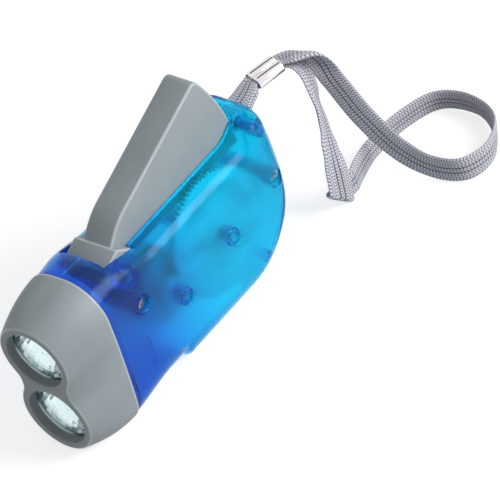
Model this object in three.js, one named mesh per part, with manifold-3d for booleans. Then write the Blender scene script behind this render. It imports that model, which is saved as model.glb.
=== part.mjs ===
// Hand squeeze dynamo torch: two lenses in a grey head cap, a clear blue body in
// two half shells, and a grey lever that drives a gear train and a magnet rotor.
// Millimetres. +X runs from the lenses to the wrist strap, +Y is the right side,
// +Z is up. Y = 0 is the joint between the shells, and Z = 0 is the underside.

import * as THREE from 'three';
import { mergeVertices } from 'three/addons/utils/BufferGeometryUtils.js';
import Module from 'manifold-3d';

const wasm = await Module();
wasm.setup();

// Small sizes that the whole part shares
const running_gap = 0.3;       // between a moving piece and its neighbour
const seat_gap = 0.2;          // between a pin or plug and the hole that holds it
const overrun = 2;             // how far a cut passes the face that it opens

// Head cap and lenses
const cap_length = 20;
const cap_wall = 1.6;
const cap_face = 6;            // depth of the solid front behind the lens openings
const cap_edge = 1.6;          // rounding of the front edge
const front_lift = 0.6;        // underside of the front face above the rim's
const lens_spacing = 23;       // centre of the lower lens to the upper one
const lens_opening_radius = 10;
const lobe_rim = 2.4;          // front face outside a lens opening
const waist_half_width = 9.2;  // front face between the two lobes
const lens_well_depth = 3.2;   // front face to lens
const lens_radius = 10.8;
const lens_thickness = 1.2;
const lens_crown = 0.4;
const lens_bevel = 0.5;        // chamfer round a lens opening
const waist_half_height = 14;
const waist_power = 8;         // sharpness of the join between waist and lobes
const cap_blend_power = 2;   // how fast the lobes grow into the oval rim
const cap_points = 48;
const cap_rings = 5;

// Reflectors, light-emitting diodes and their board
const reflector_flange = 1;
const reflector_wall = 0.9;
const reflector_mouth_radius = 9.7;
const reflector_depth = 8.9;
const reflector_hole_radius = 2.8;
const led_radius = 2.5;
const led_flange_radius = 2.9;
const led_flange = 1;
const led_height = 8.6;
const board_thickness = 1.4;

// Shells
const shell_half_width = 15;
const shell_wall = 1.5;
const rim_half_width = 15;
const rim_rise = 5.6;          // how far the rim stands above the deck
const rim_corner = 13;
const rim_low_corner = 7.5;     // the same at the underside
const rim_lean = 2.4;           // the rim's lowest point is this far in front of its top
const rim_lean_height = 40;    // above this the rim is upright
const shell_corner = 8;        // rounding of the long edges
const back_corner = 9.5;       // rounding of the back, seen from above
const rim_reveal = 0.3;        // the shells are this much smaller than the cap's rim
const spigot_length = 4;       // the part of the shells inside the cap
const spigot_wall = 1.5;
const spigot_seat = 1;         // how far the thick front ring runs behind the rim
const neck_rise = 2.4;         // the underside rises this much behind the cap
const neck_ramp = 17;
const neck_length = 23.2;      // rim to the step in the underside
const step_length = 2;
const brow_flat = 5;           // top of the shells from the rim to where it drops
const brow_length = 20;
const shoulder_height = 3.8;   // hump at the back, above the deck
const shoulder_length = 6.3;
const shoulder_drop = 8.4;
const shoulder_corner = 6;     // rounding of the long top edges there
const shoulder_power = 3.5;    // roundness of the shoulder, 2 is an ellipse
const rear_ramp = 10.1;        // length of the rise from the deck to the shoulder
const tail_length = 27.8;      // length of the rounded back of the underside
const tail_rise = 38;          // underside to where the rounded back ends
const tail_power = 2.02;
const side_crown = 0.3;        // bulge of the flanks
const parting_gap = 0.3;
const corner_limit_share = 0.9;
const flank_shares = [0.3, 0.7];
const corner_steps = 4;
const neck_steps = 6;
const step_steps = 2;
const middle_steps = 2;
const tail_steps = 8;

// Lever
const pivot_from_rim = 14;
const pivot_below_deck = 3.6;
const lever_half_width = 5.5;
const ear_half_width = 8.3;
const lever_wall = 1.6;
const lever_from_back = 8.2;   // back of the shells to the lever's back
const rack_to_lever_end = 7.4; // back of the sector rack to the end wall of the lever's arm
const lever_edge = 0.5;
const lever_travel_deg = 19;
const lever_pin_radius = 1.5;
const hub_radius = 4.5;
const slot_gap = 0.6;
const slot_side_gap = 0.9;     // lever's side to the edge of the slot
const slot_front_from_pivot = 4.3;
const ear_rear = 8.2;          // pivot to the back of the ears
const ear_rear_height = 3.3;
const ear_top = 7.1;
const ear_top_from_pivot = 3;
const ear_front = 4;
const ear_front_height = 4.4;
const kink_from_pivot = 9.3;
const kink_height = 12.1;
const tip_back = 2.6;          // rounding of the lever's tip, along and down
const tip_drop = 2.3;
const lever_kink_round = 4;
const lever_foot_deg = 42;     // slope of the lever's front below the kink
const lever_foot_from_pivot = 2.2;
const lever_solid = 10.8;      // pivot to the front of the lever's hollow
const lever_slope_deg = 19.9;
const lever_low_deg = 2.5;     // how far the side walls reach below the pivot's level
const spring_seat_drop = 1.5;  // underside of the hub below the pivot

// Gear train
const rack_module = 0.8;
const rack_teeth = 122;        // on the full circle that the sector is cut from
const drive_pinion_teeth = 12;
const gear_module = 0.5;
const drive_gear_teeth = 78;
const rotor_pinion_teeth = 18;
const pressure_deg = 20;
const addendum_share = 0.8;    // tooth height outside the pitch circle, in modules
const dedendum_share = 1.25;
const backlash_share = 0.22;   // of a module
const floor_gap = 2.6;         // drive gear to the inside of the underside
const deck_gap = 1.2;          // drive gear to the inside of the deck
const drive_gear_width = 1.8;
const gear_shaft_radius = 1.25;
const pinion_hub_radius = 2.1;
const drive_pinion_half_width = 2.3;
const rack_half_width = 2;
const rack_back = 2.6;         // solid behind the rack's tooth roots
const rack_margin_deg = 4;     // toothed arc past the last tooth in mesh
const rack_top_deg = 26;       // top of the bar, under the roof of the lever's arm
const rack_block_deg = 6;      // above this the bar fills the arm's hollow
const gear_hub_radius = 3.6;
const gear_hub_width = 1.2;
const gear_hole_radius = 3.2;
const gear_hole_circle = 11.5;
const gear_hole_count = 6;

// Rotor and stator
const rotor_angle_deg = 185.5; // direction from the gear shaft to the rotor shaft
const rotor_shaft_radius = 1;
const flywheel_radius = 10.5;
const flywheel_width = 2.7;
const flywheel_rim = 2.2;
const flywheel_web = 1.2;
const magnet_radius = 6.8;
const magnet_width = 7.2;
const rotor_clear = 4;         // flywheel to magnet
const air_gap = 0.5;
const bobbin_wall = 0.8;
const winding_depth = 1.8;
const stator_wall = 0.8;
const lead_radius = 0.5;
const lead_bend_x = -23;
const lead_sag = 1.2;
const lead_turn_deg = 12;      // each lead leaves the coil this far from its level line
const lead_pad_side = 4;       // middle of the board to the leads' pads
const lead_pad_apart = 5;

// Bosses, screws and pins
const boss_radius = 2.9;
const boss_raise = 0.35;
const boss_recess = 1.2;
const boss_lip = 1;            // width of the ring round the recess
const pivot_boss_radius = 3.6;
const pivot_recess = 0.4;
const screw_radius = 1.1;
const screw_head_radius = 2.3;
const screw_head_height = 1.6;
const screw_sink = 1.6;        // screw head below the flank
const screw_collar_radius = 3.4;
const screw_collar_depth = 3;
const screw_slot_depth = 0.7;
const screw_slot_width = 0.7;
const cross_share = 0.62;      // length of the cross recess in the screw's head
const screw_grip = 8;          // length of the screw in the right shell
const front_screw_below_pivot = 10.1;
const front_boss_radius = 3.5;
const rear_screw_from_back = 6.9;
const rear_screw_below_deck = 19.1;
const rear_boss_radius = 2.4;
const stud_radius = 1.8;
const stud_from_back = 20.1;
const stud_height = 7;
const stud_length = 3.6;
const pin_cover = 2.6;         // outside of the body to the end of a blind pin hole
const strap_boss_radius = 2.4;
const strap_boss_inner = 6;
const stator_seat_radius = 6;
const strap_slot_spare = 0.3;  // strap slot around the webbing

// Return spring and its shelf
const spring_wire = 0.7;
const spring_radius = 2.2;
const spring_turns = 5;
const spring_from_pivot = 7.4;
const shelf_below_pivot = 9.1;
const shelf_thickness = 1.5;
const shelf_half_length = 3.1;
const shelf_reach = 2.8;       // past the middle, towards the left shell
const rib_from_rim = 12.8;
const rib_thickness = 1.2;
const rib_depth = 3;
const rib_low = 13;
const rib_high = 25;

// Wrist strap
const strap_width = 8.8;
const strap_thickness = 1.3;
const strap_pin_radius = 1.3;
const strap_pin_from_back = 4.9;
const strap_below_deck = 2;
const strap_bevel_share = 0.3;
const strap_turn_share = 5 / 6; // share of a full turn where the webbing leaves the pin
const strap_steps = 2;         // rings of webbing for each row of its route
const clamp_length = 9.6;
const clamp_lobe_radius = 2.4;
const clamp_lobe_offset = 1.5;
const clamp_hole_half_width = 3.1;
const clamp_hole_half_height = 1.6;
const clamp_place = [66.6, 0.45, 45.45];
const clamp_turn_deg = -14;
const clamp_webbing_width = 5.6;
const clamp_webbing_thickness = 1.1;

// Webbing from the back of the shells, through the clamp, round the hand loop and
// back: centre of the webbing, direction across it, its width and its thickness
const strap_route = [
  [52.1, 0, 45.4, 0, 1, 0, strap_width, strap_thickness],
  [57, 0.7, 45.8, 0, 1, 0, 7.4, strap_thickness],
  [61.4, 1.7, 46.15, 0.24, 0.97, 0, clamp_webbing_width, clamp_webbing_thickness],
  [66.6, 0.45, 46.15, 0.24, 0.97, 0, clamp_webbing_width, clamp_webbing_thickness],
  [71.8, -0.8, 46.15, 0.24, 0.97, 0, clamp_webbing_width, clamp_webbing_thickness],
  [75.44, -4.31, 45.47, 0.6, 0.78, -0.1, 7.6, strap_thickness],
  [78.61, -9.18, 40.88, 0.87, 0.5, -0.05, strap_width, strap_thickness],
  [80.06, -11.47, 33.18, 0.88, 0.43, 0.2, strap_width, strap_thickness],
  [81.22, -16.68, 19.82, 0.9, 0.25, 0.4, strap_width, strap_thickness],
  [81.64, -26.46, 9.19, 0.6, 0, 0.8, strap_width, strap_thickness],
  [82.64, -37.44, 5, 0.15, 0, 0.98, strap_width, strap_thickness],
  [85.83, -47.12, 4.8, 0, 0, 1, strap_width, strap_thickness],
  [94.24, -49.8, 4.8, 0.1, -0.12, 0.98, strap_width, strap_thickness],
  [104.1, -43.98, 4.8, 0.16, -0.2, 0.96, strap_width, strap_thickness],
  [109.03, -32.02, 4.8, -0.05, -0.1, 0.99, strap_width, strap_thickness],
  [106.33, -20.1, 4.8, -0.12, -0.16, 0.98, strap_width, strap_thickness],
  [96.37, -15, 4.8, -0.12, -0.16, 0.98, strap_width, strap_thickness],
  [82.7, -13.53, 4.8, -0.08, -0.1, 0.99, strap_width, strap_thickness],
  [73.32, -14.84, 4.8, 0, 0, 1, strap_width, strap_thickness],
  [67.94, -17.33, 4.9, 0, 0, 1, strap_width, strap_thickness],
  [65.14, -17.8, 5.1, 0, 0.1, 0.99, strap_width, strap_thickness],
  [63.78, -14.86, 5.9, 0, 0.71, 0.71, 10.4, strap_thickness],
  [65.41, -13.76, 9.9, -0.23, 0.92, -0.32, strap_width, strap_thickness],
  [67.13, -13.92, 18.62, -0.08, 0.9, -0.41, strap_width, strap_thickness],
  [69.44, -12.67, 24.94, 0.12, 0.85, -0.52, strap_width, strap_thickness],
  [71.67, -10.61, 31.27, 0.37, 0.69, -0.62, strap_width, strap_thickness],
  [73.55, -8.87, 36.71, 0.09, 0.86, -0.5, strap_width, strap_thickness],
  [75.55, -4.38, 41.53, 0.2, 0.93, -0.25, 7.4, strap_thickness],
  [71.8, -0.8, 44.75, 0.24, 0.97, 0, clamp_webbing_width, clamp_webbing_thickness],
  [66.6, 0.45, 44.75, 0.24, 0.97, 0, clamp_webbing_width, clamp_webbing_thickness],
  [61.4, 1.7, 44.75, 0.24, 0.97, 0, clamp_webbing_width, clamp_webbing_thickness],
  [57, 0.7, 44.2, 0, 1, 0, 7.4, strap_thickness],
  [52.1, 0, 43.8, 0, 1, 0, strap_width, strap_thickness],
];

// Sizes that follow from the ones above
const rack_radius = rack_module * rack_teeth / 2;
const rack_back_radius = rack_radius + rack_module * dedendum_share + rack_back;
const lever_reach = rack_back_radius + rack_to_lever_end + lever_wall;
const body_length = cap_length + pivot_from_rim + lever_reach + lever_from_back;
const front_x = -body_length / 2;
const rear_x = body_length / 2;
const rim_x = front_x + cap_length;
const lobe_radius = lens_opening_radius + lobe_rim;
const lens_low_z = front_lift + lobe_radius;
const lens_high_z = lens_low_z + lens_spacing;
const front_mid_z = (lens_low_z + lens_high_z) / 2;
const gear_addendum = gear_module * addendum_share;
const drive_gear_radius = gear_module * drive_gear_teeth / 2;
const drive_gear_outer = drive_gear_radius + gear_addendum;
const rotor_pinion_radius = gear_module * rotor_pinion_teeth / 2;
const gear_z = shell_wall + floor_gap + drive_gear_outer;
const deck_z = gear_z + drive_gear_outer + deck_gap + shell_wall;
const rim_z = deck_z + rim_rise;
const pivot_x = rim_x + pivot_from_rim;
const pivot_z = deck_z - pivot_below_deck;
const drive_pinion_radius = rack_module * drive_pinion_teeth / 2;
const rack_centre_distance = rack_radius - drive_pinion_radius;
const gear_angle = Math.asin((gear_z - pivot_z) / rack_centre_distance);
const gear_x = pivot_x + rack_centre_distance * Math.cos(gear_angle);
const gear_centre_distance = drive_gear_radius + rotor_pinion_radius;
const rotor_angle = THREE.MathUtils.degToRad(rotor_angle_deg);
const rotor_x = gear_x + gear_centre_distance * Math.cos(rotor_angle);
const rotor_z = gear_z + gear_centre_distance * Math.sin(rotor_angle);
const shell_inner = shell_half_width - shell_wall;
const shoulder_x = rear_x - shoulder_length;
const strap_z = deck_z - strap_below_deck;
const strap_pin_x = rear_x - strap_pin_from_back;

// Places along Y, from the lever outwards to the left shell
const drive_gear_inner_y = -(lever_half_width + slot_gap);
const drive_gear_outer_y = drive_gear_inner_y - drive_gear_width;
const gear_hub_y = drive_gear_outer_y - gear_hub_width;
const shaft_boss_y = gear_hub_y - running_gap;
const shaft_half_length = shell_inner - running_gap;
const pinion_hub_low_y = drive_gear_inner_y + running_gap;
const shaft_boss_right_y = lever_half_width + running_gap;
const rotor_pinion_low_y = drive_gear_outer_y - running_gap;
const rotor_pinion_high_y = drive_gear_inner_y + running_gap;
const flywheel_low_y = rotor_pinion_high_y + 2 * running_gap;
const flywheel_high_y = flywheel_low_y + flywheel_width;
const magnet_low_y = flywheel_high_y + rotor_clear;
const magnet_high_y = magnet_low_y + magnet_width;
const magnet_boss_y = magnet_high_y + running_gap;
const bobbin_inner = magnet_radius + air_gap;
const winding_inner = bobbin_inner + bobbin_wall + seat_gap;
const winding_outer = winding_inner + winding_depth;
const bobbin_outer = winding_outer + seat_gap;
const stator_inner = bobbin_outer + seat_gap;
const stator_outer = stator_inner + stator_wall;
const bobbin_high_y = magnet_high_y + running_gap + running_gap;
const stator_plate_y = bobbin_high_y + seat_gap;
const stator_low_y = magnet_low_y - running_gap * 2;

// Places along X inside the head
const lens_x = front_x + lens_well_depth + seat_gap;
const reflector_x = lens_x + lens_thickness + seat_gap;
const board_x = rim_x - running_gap - board_thickness;
const led_base_x = board_x - seat_gap;

// A closed mesh as a solid that can be cut and joined
function solid(geometry) {
  const bare = geometry.clone();
  bare.deleteAttribute('normal');
  bare.deleteAttribute('uv');
  const merged = mergeVertices(bare);
  const corners = merged.index.array;
  const kept = [];
  for (let i = 0; i < corners.length; i += 3) {
    const [a, b, c] = corners.slice(i, i + 3);
    if (a !== b && b !== c && c !== a) kept.push(a, b, c);
  }
  const vertProperties = new Float32Array(merged.attributes.position.array);
  const triVerts = new Uint32Array(kept);
  const body = new wasm.Manifold(new wasm.Mesh({ numProp: 3, vertProperties, triVerts }));
  if (body.volume() > 0) return body;
  triVerts.reverse();
  return new wasm.Manifold(new wasm.Mesh({ numProp: 3, vertProperties, triVerts }));
}

// A solid as a mesh's geometry
function surface(body) {
  const mesh = body.getMesh();
  const geometry = new THREE.BufferGeometry();
  geometry.setAttribute('position', new THREE.BufferAttribute(mesh.vertProperties, 3));
  geometry.setIndex(new THREE.BufferAttribute(mesh.triVerts, 1));
  geometry.computeVertexNormals();
  return geometry;
}

// A side outline in X and Z, carried along Y from low to high
function alongY(outline, low, high, edge = 0) {
  const geometry = new THREE.ExtrudeGeometry(outline, {
    depth: high - low - 2 * edge,
    bevelEnabled: edge > 0,
    bevelThickness: edge,
    bevelSize: edge,
    bevelOffset: -edge,
    bevelSegments: 1,
    curveSegments: 8,
  });
  geometry.rotateX(Math.PI / 2);
  geometry.translate(0, high - edge, 0);
  return solid(geometry);
}

// An end outline in Y and Z, carried along X from low to high
function alongX(outline, low, high) {
  const geometry = new THREE.ExtrudeGeometry(outline, { depth: high - low, bevelEnabled: false, curveSegments: 12 });
  const turn = new THREE.Matrix4().makeBasis(
    new THREE.Vector3(0, 1, 0), new THREE.Vector3(0, 0, 1), new THREE.Vector3(1, 0, 0),
  );
  geometry.applyMatrix4(turn);
  geometry.translate(low, 0, 0);
  return solid(geometry);
}

// A round bar along Y
function barY(x, z, radius, low, high, sides = 20) {
  const geometry = new THREE.CylinderGeometry(radius, radius, high - low, sides);
  geometry.translate(x, (low + high) / 2, z);
  return solid(geometry);
}

// A round bar along X
function barX(y, z, radius, low, high, sides = 32) {
  const geometry = new THREE.CylinderGeometry(radius, radius, high - low, sides);
  geometry.rotateZ(Math.PI / 2);
  geometry.translate((low + high) / 2, y, z);
  return solid(geometry);
}

// A block between two corners
function block(low, high) {
  const size = high.map((value, i) => value - low[i]);
  const geometry = new THREE.BoxGeometry(...size);
  geometry.translate(...high.map((value, i) => (value + low[i]) / 2));
  return solid(geometry);
}

// A turned piece about the Y axis, from [radius, y] points
function turnedY(points, sides = 32) {
  return solid(new THREE.LatheGeometry(points.map(([r, y]) => new THREE.Vector2(r, y)), sides));
}

// A turned piece about the X axis, from [radius, x] points
function turnedX(points, sides = 32) {
  const geometry = new THREE.LatheGeometry(points.map(([r, x]) => new THREE.Vector2(r, x)), sides);
  geometry.rotateZ(-Math.PI / 2);
  return solid(geometry);
}

// A skin over rings of points, each ring going from +Y towards +Z, with flat ends
function loft(rings) {
  const places = [];
  const corners = [];
  const count = rings[0].length;
  rings.flat().forEach((point) => places.push(...point));
  for (let i = 0; i + 1 < rings.length; i += 1) {
    for (let j = 0; j < count; j += 1) {
      const a = i * count + j;
      const b = i * count + (j + 1) % count;
      corners.push(a, b, b + count, a, b + count, a + count);
    }
  }
  [0, rings.length - 1].forEach((i) => {
    const middle = places.length / 3;
    const ring = rings[i];
    places.push(...[0, 1, 2].map((k) => ring.reduce((sum, point) => sum + point[k], 0) / count));
    for (let j = 0; j < count; j += 1) {
      const here = i * count + j;
      const next = i * count + (j + 1) % count;
      if (i === 0) corners.push(middle, next, here);
      else corners.push(middle, here, next);
    }
  });
  const geometry = new THREE.BufferGeometry();
  geometry.setAttribute('position', new THREE.Float32BufferAttribute(places, 3));
  geometry.setIndex(corners);
  return solid(geometry);
}

// Smooth rise from 0 to 1
function rise(share) {
  const t = THREE.MathUtils.clamp(share, 0, 1);
  return t * t * (3 - 2 * t);
}

// Quarter of a superellipse: 1 at the middle, 0 at the end
function crownShare(share, power) {
  const t = THREE.MathUtils.clamp(share, 0, 1);
  return (1 - t ** power) ** (1 / power);
}

// Evenly spaced values from low to high, both included
function spaced(low, high, steps) {
  return Array.from({ length: steps + 1 }, (_, i) => low + (high - low) * i / steps);
}

// Size of the body's cross-section at x, set in from the outer surface by inset
function bodySection(x, inset) {
  const along = (x - rim_x) / neck_length;
  const blend = rise(along);
  let half = THREE.MathUtils.lerp(rim_half_width - rim_reveal, shell_half_width, blend) - inset;
  const corner_x = rear_x - back_corner;
  if (x > corner_x) {
    const reach = back_corner - inset;
    const across = Math.max(0, reach ** 2 - (x - corner_x) ** 2);
    half = shell_half_width - back_corner + Math.sqrt(across);
  }
  const brow = 1 - rise((x - rim_x - brow_flat) / brow_length);
  const ramp = rise((x - shoulder_x + rear_ramp) / rear_ramp);
  const hump = shoulder_height * ramp;
  let high = deck_z + (rim_rise - rim_reveal) * brow + hump - inset;
  if (x > shoulder_x) {
    const middle = deck_z + shoulder_height - shoulder_drop;
    const share = (x - shoulder_x) / (shoulder_length - inset);
    high = middle + (shoulder_drop - inset) * crownShare(share, shoulder_power);
  }
  const step = 1 - rise((x - rim_x - neck_length) / step_length);
  let low = rim_reveal + (neck_rise - rim_reveal) * rise((x - rim_x) / neck_ramp);
  low = low * step + inset;
  const tail_x = rear_x - tail_length;
  if (x > tail_x) {
    const share = (x - tail_x) / (tail_length - inset);
    low = tail_rise - (tail_rise - inset) * crownShare(share, tail_power);
  }
  const largest = Math.min(half, (high - low) / 2) * corner_limit_share;
  const top_corner = THREE.MathUtils.lerp(shell_corner, shoulder_corner, ramp);
  const corner = Math.min(largest, THREE.MathUtils.lerp(rim_corner, top_corner, blend) - inset);
  const low_corner = Math.min(largest, THREE.MathUtils.lerp(rim_low_corner, shell_corner, blend) - inset);
  const crown = side_crown * blend * half / shell_half_width;
  return { half, low, high, corner, low_corner, crown, lean: 1 - blend };
}

// The cross-section's points, from the right side over the top to the left
function bodyRing(x, inset) {
  const { half, low, high, corner, low_corner, crown, lean } = bodySection(x, inset);
  const points = [];
  const centres = [[1, 1], [-1, 1], [-1, -1], [1, -1]];
  centres.forEach(([side, level], quarter) => {
    const radius = level > 0 ? corner : low_corner;
    const y = side * (half - radius);
    const z = level > 0 ? high - radius : low + radius;
    for (let i = 0; i <= corner_steps; i += 1) {
      const angle = (quarter + i / corner_steps) * Math.PI / 2;
      points.push([x, y + radius * Math.cos(angle), z + radius * Math.sin(angle)]);
    }
    if (quarter % 2 === 1) {
      const from = level > 0 ? high - corner : low + low_corner;
      const to = level > 0 ? low + low_corner : high - corner;
      flank_shares.forEach((share) => {
        const bulge = crown * 4 * share * (1 - share);
        points.push([x, side * (half + bulge), from + (to - from) * share]);
      });
    }
  });
  return points.map(([, y, z]) => [x - lean * rimLean(z), y, z]);
}

// How far the rim lies in front of its upright part at a height
function rimLean(z) {
  const share = Math.max(0, 1 - z / rim_lean_height);
  return rim_lean * share * share;
}

// Stations along the body: close together at the neck's step and at the back
function bodyStations(inset) {
  const neck_x = rim_x + neck_length;
  const step_x = neck_x + step_length;
  const tail_x = rear_x - tail_length;
  const back = spaced(0, Math.PI / 2, tail_steps);
  return [
    ...spaced(rim_x + seat_gap, neck_x, neck_steps),
    ...spaced(neck_x, step_x, step_steps).slice(1),
    ...spaced(step_x, tail_x, middle_steps).slice(1),
    ...back.slice(1).map((angle) => tail_x + (tail_length - inset) * Math.sin(angle)),
  ];
}

// The whole outer form, with the spigot that plugs into the cap
function bodyOuter() {
  const plug = cap_wall + seat_gap - rim_reveal;
  const spigot = [rim_x - spigot_length, rim_x + seat_gap]
    .map((x) => bodyRing(rim_x, plug).map(([, y, z]) => [x, y, z]));
  return loft([...spigot, ...bodyStations(0).map((x) => bodyRing(x, 0))]);
}

// The hollow inside, open at the front through the spigot
function bodyHollow() {
  const plug = cap_wall + seat_gap - rim_reveal + spigot_wall;
  const mouth = bodyRing(rim_x, plug).map(([, y, z]) => [rim_x - spigot_length - overrun, y, z]);
  const seat_x = rim_x + spigot_seat;
  const seat = bodyRing(rim_x, plug).map(([, y, z]) => [seat_x, y, z]);
  const wide = bodyStations(shell_wall).filter((x) => x > seat_x + spigot_seat);
  return loft([mouth, seat, ...wide.map((x) => bodyRing(x, shell_wall))]);
}

// A length of cord or wire along a smooth curve through points
function wire(points, radius, sides, steps) {
  const round = new THREE.Shape();
  for (let i = 0; i < sides; i += 1) {
    const angle = 2 * Math.PI * i / sides;
    const place = [radius * Math.cos(angle), radius * Math.sin(angle)];
    if (i === 0) round.moveTo(...place);
    else round.lineTo(...place);
  }
  const extrudePath = new THREE.CatmullRomCurve3(points, false, 'centripetal');
  return solid(new THREE.ExtrudeGeometry(round, { extrudePath, steps, bevelEnabled: false }));
}

// An outline about a centre from [x, z] points measured from it
function outlineAt(x, z, points) {
  return new THREE.Shape(points.map(([a, b]) => new THREE.Vector2(x + a, z + b)));
}

// Distance from the middle of the cap's front to its edge, in a direction
function frontReach(angle) {
  const across = Math.abs(Math.cos(angle));
  const up = Math.abs(Math.sin(angle));
  const offset = lens_spacing / 2;
  const lobe = offset * up + Math.sqrt(Math.max(0, lobe_radius ** 2 - (offset * across) ** 2));
  const waist = 1 / Math.hypot(across / waist_half_width, up / waist_half_height);
  return (lobe ** waist_power + waist ** waist_power) ** (1 / waist_power);
}

// The same for the rim, a rounded rectangle
function rimReach(angle) {
  const across = Math.abs(Math.cos(angle));
  const up = Math.abs(Math.sin(angle));
  const corner = Math.sin(angle) > 0 ? rim_corner : rim_low_corner;
  const y = rim_half_width - corner;
  const z = rim_z / 2 - corner;
  if (up * rim_half_width < z * across) return rim_half_width / across;
  if (across * rim_z / 2 < y * up) return rim_z / 2 / up;
  const along = y * across + z * up;
  return along + Math.sqrt(along ** 2 - y ** 2 - z ** 2 + corner ** 2);
}

// One ring of the cap at x, set in from the outer surface by inset
function capRing(x, inset) {
  const share = 1 - (1 - (x - front_x) / cap_length) ** cap_blend_power;
  const middle = THREE.MathUtils.lerp(front_mid_z, rim_z / 2, share);
  return Array.from({ length: cap_points }, (_, i) => {
    const angle = 2 * Math.PI * i / cap_points;
    const reach = THREE.MathUtils.lerp(frontReach(angle), rimReach(angle), share) - inset;
    const z = middle + reach * Math.sin(angle);
    return [x - share * rimLean(z), reach * Math.cos(angle), z];
  });
}

// Grey head cap with a stepped opening for each lens
function headCap() {
  const rounded = spaced(0, Math.PI / 2, 3).map((angle) => (
    capRing(front_x + cap_edge * (1 - Math.cos(angle)), cap_edge * (1 - Math.sin(angle)))
      .map(([, y, z]) => [front_x + cap_edge * (1 - Math.cos(angle)), y, z])
  ));
  const sides = spaced(front_x + cap_edge, rim_x, cap_rings).slice(1).map((x) => capRing(x, 0));
  const outer = loft([...rounded, ...sides]);
  const hollow_x = front_x + cap_face;
  const inner = spaced(hollow_x, rim_x, cap_rings).map((x) => capRing(x, cap_wall));
  const beyond = inner[cap_rings].map(([x, y, z]) => [x + overrun, y, z]);
  const plug = cap_wall - rim_reveal;
  const socket = [rim_x - spigot_length - seat_gap, rim_x + overrun]
    .map((x) => bodyRing(rim_x, plug).map(([, y, z]) => [x, y, z]));
  let cap = outer.subtract(loft([...inner, beyond])).subtract(loft(socket));
  [lens_low_z, lens_high_z].forEach((z) => {
    const radius = lens_opening_radius;
    const seat_x = front_x + lens_well_depth;
    const seat_radius = lens_radius + seat_gap;
    const well = turnedX([
      [0, front_x - overrun], [radius + lens_bevel + overrun, front_x - overrun],
      [radius, front_x + lens_bevel], [radius, seat_x], [seat_radius, seat_x],
      [seat_radius, hollow_x + overrun], [0, hollow_x + overrun],
    ], 32);
    cap = cap.subtract(well.translate([0, 0, z]));
  });
  return cap;
}

// Clear lens, slightly crowned at the front
function lens() {
  const crown = spaced(0, 1, 3).map((share) => [lens_radius * share, -lens_crown * (1 - share ** 2)]);
  return turnedX([...crown, [lens_radius, lens_thickness], [0, lens_thickness]], 32);
}

// Silvered bowl with a flange against the lens and a hole for the diode
function reflector() {
  const shares = spaced(0, 1, 5);
  const bowl = (share, extra) => {
    const square = THREE.MathUtils.lerp(reflector_mouth_radius ** 2, reflector_hole_radius ** 2, share);
    return [Math.sqrt(square) + extra, reflector_depth * share];
  };
  const inside = shares.map((share) => bowl(share, 0));
  const outside = shares.slice(1).reverse().map((share) => bowl(share, reflector_wall));
  const flange = [[outside[outside.length - 1][0], reflector_flange], [lens_radius, reflector_flange], [lens_radius, 0]];
  return turnedX([...inside, ...outside, ...flange, inside[0]], 28);
}

// Light-emitting diode: domed body on a flange, pointing to the front
function diode() {
  const dome = spaced(0, Math.PI / 2, 4).map((angle) => (
    [led_radius * Math.sin(angle), -led_height + led_radius * (1 - Math.cos(angle))]
  ));
  return turnedX([
    ...dome, [led_radius, -led_flange], [led_flange_radius, -led_flange], [led_flange_radius, 0], [0, 0],
  ], 20);
}

// Board that closes the spigot and carries both diodes
function ledBoard() {
  const plug = cap_wall + seat_gap - rim_reveal + spigot_wall + running_gap;
  return loft([board_x, board_x + board_thickness].map((x) => (
    bodyRing(rim_x, plug).map(([, y, z]) => [x, y, z])
  )));
}

// Where the lever's sloping top, lowered by drop, meets a circle about the pivot
function slopeMeets(radius, drop) {
  const slope = THREE.MathUtils.degToRad(lever_slope_deg);
  const x = kink_from_pivot;
  const z = kink_height - drop / Math.cos(slope);
  const along = x * Math.cos(slope) + z * Math.sin(slope);
  const reach = -along + Math.sqrt(along ** 2 - x ** 2 - z ** 2 + radius ** 2);
  return [x + reach * Math.cos(slope), z + reach * Math.sin(slope)];
}

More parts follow.
